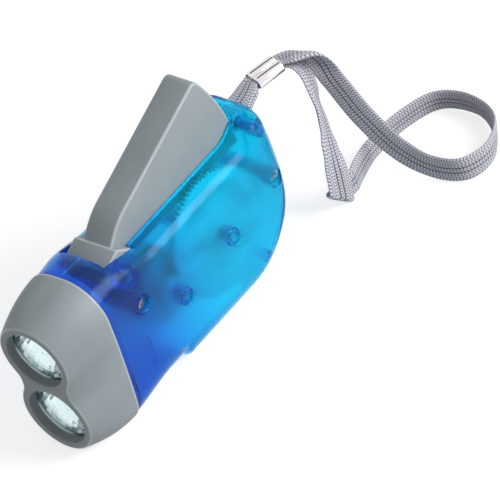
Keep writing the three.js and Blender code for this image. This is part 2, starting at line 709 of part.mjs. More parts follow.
// Grey lever: ears on the pivot and a long arm that is hollow from below
function squeezeLever() {
  const slope = THREE.MathUtils.degToRad(lever_slope_deg);
  const foot = THREE.MathUtils.degToRad(lever_foot_deg);
  const low = -THREE.MathUtils.degToRad(lever_low_deg);
  const [corner_x, corner_z] = slopeMeets(lever_reach, 0);
  const end_z = corner_z - tip_drop;
  const end_x = Math.sqrt(lever_reach ** 2 - end_z ** 2);
  const foot_run = kink_from_pivot - lever_foot_from_pivot;
  const round = lever_kink_round;
  const arm = new THREE.Shape();
  arm.moveTo(lever_foot_from_pivot, kink_height - foot_run * Math.tan(foot));
  arm.lineTo(kink_from_pivot - round * Math.cos(foot), kink_height - round * Math.sin(foot));
  arm.quadraticCurveTo(
    kink_from_pivot, kink_height,
    kink_from_pivot + round * Math.cos(slope), kink_height + round * Math.sin(slope),
  );
  arm.lineTo(corner_x - tip_back * Math.cos(slope), corner_z - tip_back * Math.sin(slope));
  arm.quadraticCurveTo(corner_x, corner_z, end_x, end_z);
  arm.absarc(0, 0, lever_reach, Math.atan2(end_z, end_x), low, true);
  arm.lineTo(ear_rear, -spring_seat_drop);
  arm.lineTo(lever_foot_from_pivot, -spring_seat_drop);
  const ears = outlineAt(0, 0, [
    [-ear_front, 0], [-ear_front, ear_front_height], [ear_top_from_pivot, ear_top],
    [ear_rear, ear_rear_height], [ear_rear, -spring_seat_drop], [0, -spring_seat_drop],
  ]);
  const inner = lever_reach - lever_wall;
  const [roof_x, roof_z] = slopeMeets(inner, lever_wall);
  const roof_low = kink_height + (lever_solid - kink_from_pivot) * Math.tan(slope) - lever_wall / Math.cos(slope);
  const hollow = new THREE.Shape();
  hollow.moveTo(lever_solid, -hub_radius - overrun);
  hollow.lineTo(lever_solid, roof_low);
  hollow.lineTo(roof_x, roof_z);
  hollow.absarc(0, 0, inner, Math.atan2(roof_z, roof_x), 2 * low, true);
  hollow.lineTo(inner, -hub_radius - overrun);
  const side = lever_half_width - lever_wall;
  const pin = lever_pin_radius + running_gap;
  return alongY(arm, -lever_half_width, lever_half_width, lever_edge)
    .add(alongY(ears, -ear_half_width, ear_half_width, lever_edge))
    .add(barY(0, 0, hub_radius, -ear_half_width, ear_half_width, 32))
    .subtract(alongY(hollow, -side, side))
    .subtract(barY(0, 0, pin, -ear_half_width - overrun, ear_half_width + overrun));
}

// The angle's involute
function involute(angle) {
  return Math.tan(angle) - angle;
}

// Half the angle that one tooth covers at a radius
function toothHalf(module, teeth, radius, inward) {
  const pitch = module * teeth / 2;
  const pressure = THREE.MathUtils.degToRad(pressure_deg);
  const base = pitch * Math.cos(pressure);
  const slope = involute(pressure) - involute(Math.acos(Math.min(1, base / radius)));
  const thickness = Math.PI / (2 * teeth) - backlash_share * module / (2 * pitch);
  return thickness + (inward ? -slope : slope);
}

// Outline of a spur gear with one tooth centred on a direction
function gearOutline(module, teeth, direction, flank_steps) {
  const pitch = module * teeth / 2;
  const root = pitch - module * dedendum_share;
  const radii = spaced(root, pitch + module * addendum_share, flank_steps);
  const points = [];
  for (let i = 0; i < teeth; i += 1) {
    const middle = direction + 2 * Math.PI * i / teeth;
    const flank = radii.map((radius) => [radius, toothHalf(module, teeth, radius, false)]);
    flank.forEach(([r, half]) => points.push([r * Math.cos(middle - half), r * Math.sin(middle - half)]));
    flank.reverse().forEach(([r, half]) => points.push([r * Math.cos(middle + half), r * Math.sin(middle + half)]));
  }
  return outlineAt(0, 0, points);
}

// A round hole for an outline
function roundHole(x, z, radius) {
  const hole = new THREE.Path();
  hole.absarc(x, z, radius, 0, 2 * Math.PI, true);
  return hole;
}

// Curved bar inside the lever, toothed on the side that faces the pivot
function sectorRack() {
  const step = 2 * Math.PI / rack_teeth;
  const margin = THREE.MathUtils.degToRad(rack_margin_deg);
  const travel = THREE.MathUtils.degToRad(lever_travel_deg);
  const root = rack_radius + rack_module * dedendum_share;
  const tip = rack_radius - rack_module * addendum_share;
  const back = root + rack_back;
  const teeth_below = Math.floor(margin / step);
  const teeth_above = Math.ceil((travel + margin) / step);
  const points = [];
  for (let i = -teeth_below; i < teeth_above; i += 1) {
    const middle = gear_angle + (i + 1 / 2) * step;
    const flank = spaced(root, tip, 3).map((radius) => [radius, toothHalf(rack_module, rack_teeth, radius, true)]);
    flank.forEach(([r, half]) => points.push([r * Math.cos(middle - half), r * Math.sin(middle - half)]));
    flank.reverse().forEach(([r, half]) => points.push([r * Math.cos(middle + half), r * Math.sin(middle + half)]));
  }
  const low = gear_angle - (teeth_below + 1 / 2) * step;
  const high = THREE.MathUtils.degToRad(rack_top_deg);
  const start = gear_angle + (teeth_above + 1 / 2) * step;
  spaced(start, high, 10).forEach((angle) => points.push([root * Math.cos(angle), root * Math.sin(angle)]));
  spaced(high, low, 18).forEach((angle) => points.push([back * Math.cos(angle), back * Math.sin(angle)]));
  points.push([root * Math.cos(low), root * Math.sin(low)]);
  const strip = alongY(outlineAt(0, 0, points), -rack_half_width, rack_half_width);
  const block_low = THREE.MathUtils.degToRad(rack_block_deg);
  const pad = [];
  spaced(block_low, high, 8).forEach((angle) => pad.push([root * Math.cos(angle), root * Math.sin(angle)]));
  spaced(high, block_low, 8).forEach((angle) => pad.push([back * Math.cos(angle), back * Math.sin(angle)]));
  const wide = lever_half_width - lever_wall - seat_gap;
  return strip.add(alongY(outlineAt(0, 0, pad), -wide, wide));
}

// Large gear on the shaft behind the left shell
function driveGear() {
  const outline = gearOutline(gear_module, drive_gear_teeth, rotor_angle, 1);
  for (let i = 0; i < gear_hole_count; i += 1) {
    const angle = 2 * Math.PI * i / gear_hole_count;
    outline.holes.push(roundHole(gear_hole_circle * Math.cos(angle), gear_hole_circle * Math.sin(angle), gear_hole_radius));
  }
  const bore = gear_shaft_radius + seat_gap;
  return alongY(outline, drive_gear_outer_y, drive_gear_inner_y)
    .add(barY(0, 0, gear_hub_radius, gear_hub_y, drive_gear_inner_y))
    .subtract(barY(0, 0, bore, gear_hub_y - overrun, drive_gear_inner_y + overrun));
}

// Small gear that the sector rack turns, with a long hub at each side
function drivePinion() {
  const outline = gearOutline(rack_module, drive_pinion_teeth, gear_angle, 4);
  const bore = gear_shaft_radius + seat_gap;
  return alongY(outline, -drive_pinion_half_width, drive_pinion_half_width)
    .add(barY(0, 0, pinion_hub_radius, pinion_hub_low_y, lever_half_width))
    .subtract(barY(0, 0, bore, pinion_hub_low_y - overrun, lever_half_width + overrun));
}

// Smallest gear, on the rotor's shaft, with a space turned to the large gear
function rotorPinion() {
  const direction = rotor_angle + Math.PI + Math.PI / rotor_pinion_teeth;
  const outline = gearOutline(gear_module, rotor_pinion_teeth, direction, 2);
  const bore = rotor_shaft_radius + seat_gap;
  return alongY(outline, rotor_pinion_low_y, rotor_pinion_high_y)
    .add(barY(0, 0, pinion_hub_radius, gear_hub_y, rotor_pinion_high_y))
    .subtract(barY(0, 0, bore, gear_hub_y - overrun, rotor_pinion_high_y + overrun));
}

// Brass wheel with a heavy rim that keeps the rotor turning between squeezes
function flywheel() {
  const low = (flywheel_width - flywheel_web) / 2;
  const high = low + flywheel_web;
  const rim = flywheel_radius - flywheel_rim;
  const hub = pinion_hub_radius + flywheel_web;
  const bore = rotor_shaft_radius + seat_gap;
  return turnedY([
    [bore, 0], [hub, 0], [hub, low], [rim, low], [rim, 0], [flywheel_radius, 0],
    [flywheel_radius, flywheel_width], [rim, flywheel_width], [rim, high], [hub, high],
    [hub, flywheel_width], [bore, flywheel_width], [bore, 0],
  ], 28).translate([0, flywheel_low_y, 0]);
}

// Plain ring about the Y axis
function ringY(inner, outer, low, high, sides = 32) {
  return turnedY([[inner, low], [outer, low], [outer, high], [inner, high], [inner, low]], sides);
}

// Steel cup round the coil, with a back plate that the rotor's shaft passes
function statorCup() {
  const plate = stator_plate_y + stator_wall;
  const hole = boss_radius + running_gap;
  return turnedY([
    [hole, stator_plate_y], [stator_inner, stator_plate_y], [stator_inner, stator_low_y],
    [stator_outer, stator_low_y], [stator_outer, plate], [hole, plate], [hole, stator_plate_y],
  ], 28);
}

// Bobbin with a flange at each end
function coilBobbin() {
  const core = bobbin_inner + bobbin_wall;
  return turnedY([
    [bobbin_inner, magnet_low_y], [bobbin_outer, magnet_low_y], [bobbin_outer, magnet_low_y + bobbin_wall],
    [core, magnet_low_y + bobbin_wall], [core, bobbin_high_y - bobbin_wall],
    [bobbin_outer, bobbin_high_y - bobbin_wall], [bobbin_outer, bobbin_high_y],
    [bobbin_inner, bobbin_high_y], [bobbin_inner, magnet_low_y],
  ], 28);
}

// Copper winding between the flanges
function coilWinding() {
  const low = magnet_low_y + bobbin_wall + seat_gap;
  const high = bobbin_high_y - bobbin_wall - seat_gap;
  return ringY(winding_inner, winding_outer, low, high, 28);
}

// Lead from the bobbin's open side to the back of the board
function coilLead(level) {
  const angle = Math.PI - level * THREE.MathUtils.degToRad(lead_turn_deg);
  const board_y = lead_pad_side;
  const board_z = rotor_z + level * lead_pad_apart / 2;
  const out = (radius, y) => (
    new THREE.Vector3(rotor_x + radius * Math.cos(angle), y, rotor_z + radius * Math.sin(angle))
  );
  const start = (winding_inner + winding_outer) / 2;
  const face = magnet_low_y - running_gap;
  const pass = stator_low_y - running_gap - lead_radius;
  const board = board_x + board_thickness + running_gap;
  return wire([
    out(start, face), out(start, face - lead_radius), out(start + lead_radius, pass + lead_radius / 2),
    out(start + 3 * lead_radius, pass), out(stator_outer + 2 * lead_radius, pass),
    new THREE.Vector3(lead_bend_x, (pass + board_y) / 2, board_z - lead_sag),
    new THREE.Vector3(board + 4 * lead_radius, board_y, board_z),
    new THREE.Vector3(board, board_y, board_z),
  ], lead_radius, 8, 22);
}

// Spring between the shelf and the underside of the lever
function springPoints() {
  const low = pivot_z - shelf_below_pivot + running_gap + spring_wire / 2;
  const high = pivot_z - spring_seat_drop - running_gap - spring_wire / 2;
  const steps = 8 * spring_turns;
  const points = spaced(0, 1, steps).map((share) => {
    const angle = 2 * Math.PI * spring_turns * share;
    return new THREE.Vector3(
      pivot_x + spring_from_pivot + spring_radius * Math.cos(angle),
      spring_radius * Math.sin(angle), low + (high - low) * share,
    );
  });
  const first = points[0].clone();
  const last = points[steps].clone();
  points.unshift(first.clone().setY(first.y - spring_wire));
  points.push(last.clone().setY(last.y + spring_wire));
  return points;
}

function returnSpring() {
  const points = springPoints();
  let least = Infinity;
  points.forEach((here, i) => points.slice(i + 5).forEach((there) => {
    least = Math.min(least, here.distanceTo(there) - spring_wire);
  }));
  console.log(`return_spring least gap to itself ${least.toFixed(2)} mm`);
  return wire(points, spring_wire / 2, 5, points.length - 1);
}

// Self-tapping screw from the left flank, slotted head outwards
function screw(length) {
  const head = turnedY([[0, 0], [screw_head_radius, 0], [screw_head_radius, screw_head_height], [0, screw_head_height]], 24);
  const shank = turnedY([
    [0, 0], [screw_radius, 0], [screw_radius, length - screw_radius], [screw_radius / 4, length], [0, length],
  ], 16);
  const half = screw_slot_width / 2;
  const across = screw_head_radius * cross_share;
  const deep = screw_slot_depth;
  const slot = block([-across, -overrun, -half], [across, deep, half]);
  const cross = block([-half, -overrun, -across], [half, deep, across]);
  return head.add(shank).subtract(slot.add(cross));
}

// Round post on a shell's inside, from the flank to inner, on one side
function post(outer, x, z, radius, side, inner) {
  const beyond = side * (rim_half_width + overrun);
  const bar = barY(x, z, radius, Math.min(beyond, side * inner), Math.max(beyond, side * inner));
  return bar.intersect(outer);
}

// Blind hole from the inside of a post
function blind(x, z, radius, side, inner, deep) {
  const from = side * (inner - overrun);
  const to = side * deep;
  return barY(x, z, radius, Math.min(from, to), Math.max(from, to));
}

// Ring and shallow recess that mark a shaft's post on the outside
function mark(x, z, radius, side) {
  const face = side * (shell_half_width + side_crown + boss_raise);
  const root = side * shell_inner;
  const floor = side * (shell_half_width + side_crown + boss_raise - boss_recess);
  const beyond = side * (rim_half_width + overrun);
  const ring = barY(x, z, radius, Math.min(face, root), Math.max(face, root));
  const recess = barY(x, z, radius - boss_lip, Math.min(floor, beyond), Math.max(floor, beyond));
  return { ring, recess };
}

// One half shell with everything that is moulded to it: side is -1 for the left
// shell, which shows in front, and 1 for the right one
function halfShell(side) {
  const outer = bodyOuter();
  const far = rim_half_width + overrun;
  const low = [front_x, side < 0 ? -far : parting_gap / 2, -overrun];
  const high = [rear_x + overrun, side < 0 ? -parting_gap / 2 : far, rim_z + overrun];
  const base = block(
    [pivot_x - slot_front_from_pivot, -ear_half_width - slot_gap, pivot_z - overrun],
    [pivot_x + ear_rear + slot_gap, ear_half_width + slot_gap, rim_z + overrun],
  );
  const reach = lever_reach + slot_gap;
  const slot = new THREE.Shape();
  const above = rim_z + overrun - pivot_z;
  slot.moveTo(0, above);
  slot.lineTo(0, -overrun);
  slot.absarc(0, 0, reach, -Math.asin(overrun / reach), Math.asin(above / reach), false);
  const half = lever_half_width + slot_side_gap;
  const arm = alongY(slot, -half, half).translate([pivot_x, 0, pivot_z]);
  const strap_y = strap_width / 2 + strap_slot_spare * 2;
  const strap_high = strap_thickness + strap_slot_spare * 3 / 2;
  const strap_hole = block(
    [rear_x - shell_wall - overrun, -strap_y, strap_z - strap_high],
    [rear_x + overrun, strap_y, strap_z + strap_high],
  );
  let shell = outer.subtract(bodyHollow()).subtract(base).subtract(arm).subtract(strap_hole);
  shell = shell.intersect(block(low, high));

  const parting = parting_gap / 2;
  const front_screw_z = pivot_z - front_screw_below_pivot;
  const rear_screw_x = rear_x - rear_screw_from_back;
  const rear_screw_z = deck_z - rear_screw_below_deck;
  const rotor_inner = side < 0 ? -shaft_boss_y : magnet_boss_y;
  const gear_inner = side < 0 ? -shaft_boss_y : shaft_boss_right_y;
  const shaft_end = shaft_half_length + seat_gap;
  const pin_end = shell_half_width - pin_cover + seat_gap;
  const marks = [mark(gear_x, gear_z, boss_radius, side), mark(rotor_x, rotor_z, boss_radius, side)];
  const posts = [
    post(outer, pivot_x, pivot_z, pivot_boss_radius, side, ear_half_width + running_gap),
    post(outer, gear_x, gear_z, boss_radius, side, gear_inner),
    post(outer, rotor_x, rotor_z, boss_radius, side, rotor_inner),
    post(outer, pivot_x, front_screw_z, front_boss_radius, side, parting),
    post(outer, rear_screw_x, rear_screw_z, rear_boss_radius, side, parting),
    post(outer, rear_screw_x, rear_screw_z, screw_collar_radius, side, shell_inner - screw_collar_depth),
    post(outer, strap_pin_x, strap_z, strap_boss_radius, side, strap_boss_inner),
    post(outer, rear_x - stud_from_back, stud_height, stud_radius, side, shell_inner - stud_length),
    ...marks.map(({ ring }) => ring),
  ];
  const holes = [
    blind(pivot_x, pivot_z, lever_pin_radius + seat_gap, side, ear_half_width, pin_end),
    blind(gear_x, gear_z, gear_shaft_radius + running_gap, side, gear_inner, shaft_end),
    blind(rotor_x, rotor_z, rotor_shaft_radius + running_gap, side, rotor_inner, shaft_end),
    blind(strap_pin_x, strap_z, strap_pin_radius + seat_gap, side, strap_boss_inner, pin_end),
    ...marks.map(({ recess }) => recess),
  ];
  [[pivot_x, front_screw_z], [rear_screw_x, rear_screw_z]].forEach(([x, z]) => {
    if (side < 0) {
      const seat = -headFace(x) + screw_head_height + running_gap;
      holes.push(barY(x, z, screw_radius + running_gap, seat - overrun, 0));
      holes.push(barY(x, z, screw_head_radius + running_gap, -far, seat));
    } else {
      holes.push(barY(x, z, screw_radius + seat_gap, 0, screw_grip + running_gap));
    }
  });
  if (side < 0) {
    const rib_x = rim_x + rib_from_rim;
    posts.push(block([rib_x, -far, rib_low], [rib_x + rib_thickness, -shell_inner + rib_depth, rib_high]).intersect(outer));
  } else {
    const shelf_x = pivot_x + spring_from_pivot;
    const shelf_z = pivot_z - shelf_below_pivot;
    posts.push(block(
      [shelf_x - shelf_half_length, -shelf_reach, shelf_z - shelf_thickness],
      [shelf_x + shelf_half_length, far, shelf_z],
    ).intersect(outer));
    const seat_y = stator_plate_y + stator_wall + running_gap;
    posts.push(post(outer, rotor_x, rotor_z, stator_seat_radius, side, seat_y));
  }
  posts.forEach((piece) => { shell = shell.add(piece); });
  holes.forEach((hole) => { shell = shell.subtract(hole); });
  return shell;
}

// Distance from the parting plane to the outer face of a screw's head
function headFace(x) {
  return bodySection(x, 0).half - screw_sink;
}

// One ring of the webbing's section: place, direction of travel, direction across
function strapRing(place, travel, across, width, thickness) {
  const flat = across.clone().addScaledVector(travel, -across.dot(travel)).normalize();
  const up = new THREE.Vector3().crossVectors(travel, flat);
  const bevel = thickness * strap_bevel_share;
  const outline = [
    [width / 2, -thickness / 2 + bevel], [width / 2, thickness / 2 - bevel],
    [width / 2 - bevel, thickness / 2], [-width / 2 + bevel, thickness / 2],
    [-width / 2, thickness / 2 - bevel], [-width / 2, -thickness / 2 + bevel],
    [-width / 2 + bevel, -thickness / 2], [width / 2 - bevel, -thickness / 2],
  ];
  return outline.map(([a, b]) => (
    place.clone().addScaledVector(flat, a).addScaledVector(up, b).toArray()
  ));
}

// Flat webbing of the wrist strap, one piece from the slot round and back
function strapLoop() {
  const places = strap_route.map(([x, y, z]) => new THREE.Vector3(x, y, z));
  const curve = new THREE.CatmullRomCurve3(places, false, 'centripetal');
  const count = strap_route.length - 1;
  const rings = spaced(0, count, count * strap_steps).map((at) => {
    const row = Math.min(count - 1, Math.floor(at));
    const blend = rise(at - row);
    const [from, to] = [strap_route[row], strap_route[row + 1]];
    const [ax, ay, az, width, thickness] = from.slice(3).map((value, i) => (
      THREE.MathUtils.lerp(value, to[i + 3], blend)
    ));
    const across = new THREE.Vector3(ax, ay, az);
    const travel = curve.getTangent(at / count);
    if (at === 0 || at === count) travel.set(at === 0 ? 1 : -1, 0, 0);
    return strapRing(curve.getPoint(at / count), travel, across, width, thickness);
  });
  return loft(rings);
}

// Webbing round the pin inside the back of the shells
function strapAnchor() {
  const radius = strap_pin_radius + running_gap + strap_thickness / 2;
  const apart = (strap_thickness + strap_slot_spare) / 2;
  const end_x = rear_x - running_gap;
  const wall_x = rear_x - shell_wall - strap_thickness;
  const turn = spaced(1 - strap_turn_share, strap_turn_share, 12).map((share) => (
    [strap_pin_x + radius * Math.cos(share * 2 * Math.PI), strap_z + radius * Math.sin(share * 2 * Math.PI)]
  ));
  const line = [[end_x, strap_z + apart], [wall_x, strap_z + apart], ...turn, [wall_x, strap_z - apart], [end_x, strap_z - apart]];
  const places = line.map(([x, z]) => new THREE.Vector3(x, 0, z));
  const across = new THREE.Vector3(0, 1, 0);
  return loft(places.map((place, i) => {
    const last = places.length - 1;
    const before = places[Math.max(0, i - 1)];
    const after = places[Math.min(last, i + 1)];
    const travel = after.clone().sub(before).normalize();
    if (i < 2) travel.set(-1, 0, 0);
    if (i > last - 2) travel.set(1, 0, 0);
    return strapRing(place, travel, across, strap_width, strap_thickness);
  }));
}

// Metal crimp with two round lobes, pressed over both strands
function strapClamp() {
  const half = clamp_length / 2;
  const lobes = [-clamp_lobe_offset, clamp_lobe_offset].map((y) => barX(y, 0, clamp_lobe_radius, -half, half, 28));
  return lobes[0].add(lobes[1]).subtract(block(
    [-half - overrun, -clamp_hole_half_width, -clamp_hole_half_height],
    [half + overrun, clamp_hole_half_width, clamp_hole_half_height],
  ));
}

// Materials, from the colours in the picture
function material(color, roughness, metalness, opacity = 1) {
  return new THREE.MeshStandardMaterial({ color, roughness, metalness, opacity, transparent: opacity < 1 });
}

// A named piece at a place
function piece(name, body, look, place = [0, 0, 0]) {
  const mesh = new THREE.Mesh(surface(body), look);
  mesh.name = name;
  mesh.position.set(...place);
  return mesh;
}

function assembly() {
  const blue = () => material(0x12a0d8, 0.15, 0, 0.6);
  const grey = () => material(0x9aa2a6, 0.55, 0);
  const steel = () => material(0xb9bcc0, 0.3, 0.9);
  const chrome = () => material(0xe2e6ea, 0.08, 1);
  const white = () => material(0xdad9cf, 0.5, 0);
  const nylon = () => material(0xd8d4c6, 0.45, 0);
  const webbing = () => material(0xa7a5b4, 0.9, 0);
  const lens_low = [lens_x, 0, lens_low_z];
  const lens_high = [lens_x, 0, lens_high_z];
  const pin_half = shell_half_width - pin_cover;
  const front_screw_z = pivot_z - front_screw_below_pivot;
  const rear_screw_x = rear_x - rear_screw_from_back;
  const front_face = headFace(pivot_x);
  const rear_face = headFace(rear_screw_x);

  const housing = new THREE.Group();
  housing.add(
    piece('left_shell', halfShell(-1), blue()),
    piece('right_shell', halfShell(1), blue()),
    piece('head_cap', headCap(), grey()),
    piece('lower_lens', lens(), material(0xe8f2f6, 0.05, 0, 0.35), lens_low),
    piece('upper_lens', lens(), material(0xe8f2f6, 0.05, 0, 0.35), lens_high),
    piece('lower_reflector', reflector(), chrome(), [reflector_x, 0, lens_low_z]),
    piece('upper_reflector', reflector(), chrome(), [reflector_x, 0, lens_high_z]),
    piece('lower_led', diode(), material(0xf2f6fa, 0.1, 0, 0.8), [led_base_x, 0, lens_low_z]),
    piece('upper_led', diode(), material(0xf2f6fa, 0.1, 0, 0.8), [led_base_x, 0, lens_high_z]),
    piece('led_board', ledBoard(), material(0x1f6b3f, 0.5, 0)),
    piece('lever_pin', barY(0, 0, lever_pin_radius, -pin_half, pin_half), steel(), [pivot_x, 0, pivot_z]),
    piece('return_spring', returnSpring(), steel()),
    piece('stator_cup', statorCup(), material(0x8d9094, 0.4, 0.9), [rotor_x, 0, rotor_z]),
    piece('coil_bobbin', coilBobbin(), white(), [rotor_x, 0, rotor_z]),
    piece('coil_winding', coilWinding(), material(0xb0642a, 0.35, 0.8), [rotor_x, 0, rotor_z]),
    piece('red_lead', coilLead(1), material(0xb01818, 0.5, 0)),
    piece('black_lead', coilLead(-1), material(0x1c1c1e, 0.5, 0)),
    piece('front_screw', screw(front_face + screw_grip), steel(), [pivot_x, -front_face, front_screw_z]),
    piece('rear_screw', screw(rear_face + screw_grip), steel(), [rear_screw_x, -rear_face, deck_z - rear_screw_below_deck]),
    piece('strap_pin', barY(0, 0, strap_pin_radius, -pin_half, pin_half), nylon(), [strap_pin_x, 0, strap_z]),
    piece('strap_anchor', strapAnchor(), webbing()),
    piece('strap_loop', strapLoop(), webbing()),
  );
  const clamp = piece('strap_clamp', strapClamp(), chrome(), clamp_place);
  clamp.rotation.z = THREE.MathUtils.degToRad(clamp_turn_deg);
  housing.add(clamp);

  const lever = new THREE.Group();
  lever.position.set(pivot_x, 0, pivot_z);
  lever.add(
    piece('squeeze_lever', squeezeLever(), grey()),
    piece('sector_rack', sectorRack(), nylon()),
  );

  const geared = new THREE.Group();
  geared.position.set(gear_x, 0, gear_z);
  geared.add(
    piece('drive_gear', driveGear(), nylon()),
    piece('drive_pinion', drivePinion(), nylon()),
    piece('gear_shaft', barY(0, 0, gear_shaft_radius, -shaft_half_length, shaft_half_length), steel()),
  );

  const rotor = new THREE.Group();
  rotor.position.set(rotor_x, 0, rotor_z);
  rotor.add(
    piece('rotor_pinion', rotorPinion(), nylon()),
    piece('flywheel', flywheel(), material(0xb08d45, 0.3, 0.9)),
    piece('magnet_rotor', ringY(rotor_shaft_radius + seat_gap, magnet_radius, magnet_low_y, magnet_high_y), material(0x3b3c40, 0.5, 0.4)),
    piece('rotor_shaft', barY(0, 0, rotor_shaft_radius, -shaft_half_length, shaft_half_length), steel()),
  );

  const torch = new THREE.Group();
  torch.add(housing, lever, geared, rotor);
  return torch;
}

const torch = assembly();
export default torch;
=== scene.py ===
# %% [markdown]
# A hand squeeze torch, dressed for its picture.
# The imported model gives every piece at its real size and place, as plain faceted
# solids. This lesson keeps those places and gives each piece its finish: clear blue
# plastic, grained grey plastic, chrome, woven webbing, nylon and copper.
# Where a solid is too coarse to look real, a finer piece is built over it from the
# same sizes, and the solid is hidden. A finer piece is built over it from the same
# sizes, and the solid stays on for the motion only.

# %% Start from the imported model
import math

import bmesh
import bpy
from mathutils import Matrix, Vector


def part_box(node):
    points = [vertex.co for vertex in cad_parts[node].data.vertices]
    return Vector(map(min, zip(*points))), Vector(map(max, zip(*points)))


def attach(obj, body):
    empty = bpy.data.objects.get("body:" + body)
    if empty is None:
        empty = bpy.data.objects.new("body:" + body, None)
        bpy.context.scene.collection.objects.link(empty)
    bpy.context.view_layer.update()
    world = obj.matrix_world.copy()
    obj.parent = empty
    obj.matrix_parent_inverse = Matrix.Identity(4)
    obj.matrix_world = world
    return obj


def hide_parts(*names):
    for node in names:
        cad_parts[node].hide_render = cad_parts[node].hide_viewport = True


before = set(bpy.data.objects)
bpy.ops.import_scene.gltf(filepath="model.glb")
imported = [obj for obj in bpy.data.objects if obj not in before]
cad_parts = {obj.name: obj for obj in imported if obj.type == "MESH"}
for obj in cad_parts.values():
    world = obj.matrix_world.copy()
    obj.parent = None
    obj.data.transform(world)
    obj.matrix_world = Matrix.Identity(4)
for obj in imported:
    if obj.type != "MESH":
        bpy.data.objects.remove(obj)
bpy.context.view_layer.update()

# %% [markdown]
# All sizes in this file are in millimetres, as on a drawing, and Blender works in
# metres. One factor turns the first into the second, so it is written once.

# %% Units
MM = 0.001


def metres(point):
    """A point in millimetres as a vector in metres."""
    return Vector(point) * MM


# %% [markdown]
# The photograph was taken with a long lens from the left, about 40 degrees above the
# table, with the camera rolled a little, so that the torch hangs across the frame.
# A camera can be aimed with a Track To constraint, but a roll is easier to write as
# two directions: which way is right and which way is down in the picture.

# %% Camera
PICTURE_PIXELS, PIXELS_PER_MM = 500, 3.4
picture_right = Vector((0.5963, -0.7491, -0.2885)).normalized()
picture_down = Vector((-0.6569, -0.2488, -0.7117))
picture_down -= picture_down.dot(picture_right) * picture_right
picture_down.normalize()
looking = picture_right.cross(picture_down)
aim = metres((36.55, 0, 0.1))
picture_width = PICTURE_PIXELS / PIXELS_PER_MM

lens = bpy.data.cameras.new("photo_camera")
lens.lens, lens.sensor_width = 1600, 36
lens.clip_start, lens.clip_end = 1, 30
distance = picture_width * MM * lens.lens / lens.sensor_width
camera = bpy.data.objects.new("photo_camera", lens)
turn = Matrix((picture_right, -picture_down, -looking)).transposed().to_4x4()
camera.matrix_world = Matrix.Translation(aim - looking * distance) @ turn
bpy.context.scene.collection.objects.link(camera)
bpy.context.scene.camera = camera
print("camera distance", round(distance, 3), "m")

# %% [markdown]
# Nearly every form below is made of values between two others: a place along a curve,
# a radius between two radii, an angle in an arc. Three small helpers do this, so the
# forms can be written as what they are.

# %% Shares and steps
def spaced(low, high, steps):
    return [low + (high - low) * i / steps for i in range(steps + 1)]


def mix(a, b, share):
    return a + (b - a) * share


def rise(share):
    """A smooth rise from 0 to 1."""
    t = min(1, max(0, share))
    return t * t * (3 - 2 * t)


print("a smooth rise in four steps", [round(rise(t), 2) for t in spaced(0, 1, 4)])

# %% [markdown]
# The wrist strap is the only free cord. Its whole route shows in the picture: out of
# the slot, through the crimp, down to the table, round a loop that stands on its
# edge, a sharp fold, and back up. The route is the same list of points that its
# solid follows, with the direction across the webbing at each point, and its width
# and thickness where they aren't the usual ones. Only at the fold, where the solid
# bends round and real webbing lies flat on itself, the list stops and starts again.

# %% Strap route
WIDTH, THICK = 8.8, 1.3
SQUEEZED = (5.6, 1.1)
AT_SLOT = (7.4, 1.3)
to_fold = [
    (52.1, 0, 45.4, 0, 1, 0), (57, 0.7, 45.8, 0, 1, 0, *AT_SLOT),
    (61.4, 1.7, 46.15, 0.24, 0.97, 0, *SQUEEZED), (66.6, 0.45, 46.15, 0.24, 0.97, 0, *SQUEEZED),
    (71.8, -0.8, 46.15, 0.24, 0.97, 0, *SQUEEZED), (75.44, -4.31, 45.47, 0.3, 0.93, -0.1, 7.6, 1.5),
    (78.61, -9.18, 40.88, -0.32, 0.76, -0.57), (80.06, -11.47, 33.18, -0.36, 0.86, -0.35),
    (81.22, -16.68, 19.82, -0.38, 0.77, -0.51), (81.64, -26.46, 9.19, -0.3, 0.4, -0.86),
    (82.64, -37.44, 5, -0.1, 0, -0.99), (85.83, -47.12, 4.8, 0, 0, -1),
    (94.24, -49.8, 4.8, -0.1, 0.12, -0.98), (104.1, -43.98, 4.8, -0.16, 0.2, -0.96),
    (109.03, -32.02, 4.8, 0.05, 0.1, -0.99), (106.33, -20.1, 4.8, 0.12, 0.16, -0.98),
    (96.37, -15, 4.8, 0.12, 0.16, -0.98), (82.7, -13.53, 4.8, 0.08, 0.1, -0.99),
    (73.32, -15.2, 4.8, 0, 0, -1), (69.5, -16.6, 4.8, 0, 0, -1),
]
from_fold = [
    (63.6, -17.7, 13.5, 0.98, 0, -0.2), (66.3, -15.5, 19.9, 0.83, 0.21, -0.52),
    (69.44, -12.67, 24.94, 0.73, 0.44, -0.53), (71.67, -10.61, 31.27, 0.68, 0.59, -0.43),
    (73.55, -8.87, 36.71, 0.78, 0.36, -0.51, 8.2, 1.3),
    (75.55, -4.38, 41.53, 0.87, 0.44, -0.25, 7.8, 1.3),
    (71.8, -0.8, 44.75, 0.24, 0.97, 0, *SQUEEZED), (66.6, 0.45, 44.75, 0.24, 0.97, 0, *SQUEEZED),
    (61.4, 1.7, 44.75, 0.24, 0.97, 0, *SQUEEZED), (57, 0.7, 44.2, 0, 1, 0, *AT_SLOT),
    (52.1, 0, 43.8, 0, 1, 0),
]
print("points before and after the fold", len(to_fold), len(from_fold))

# %% [markdown]
# Flat webbing is a row of straight lines across it, one after another, which are
# called rulings. Along a smooth route each ruling is square to the way it travels.
# The route between its points is a centripetal spline, which passes every point
# without swinging out, and needs no handles as Blender's own curve objects do.

# %% Rulings along the route
ROUTE_STEPS = 24
RULING_GAP = 0.3


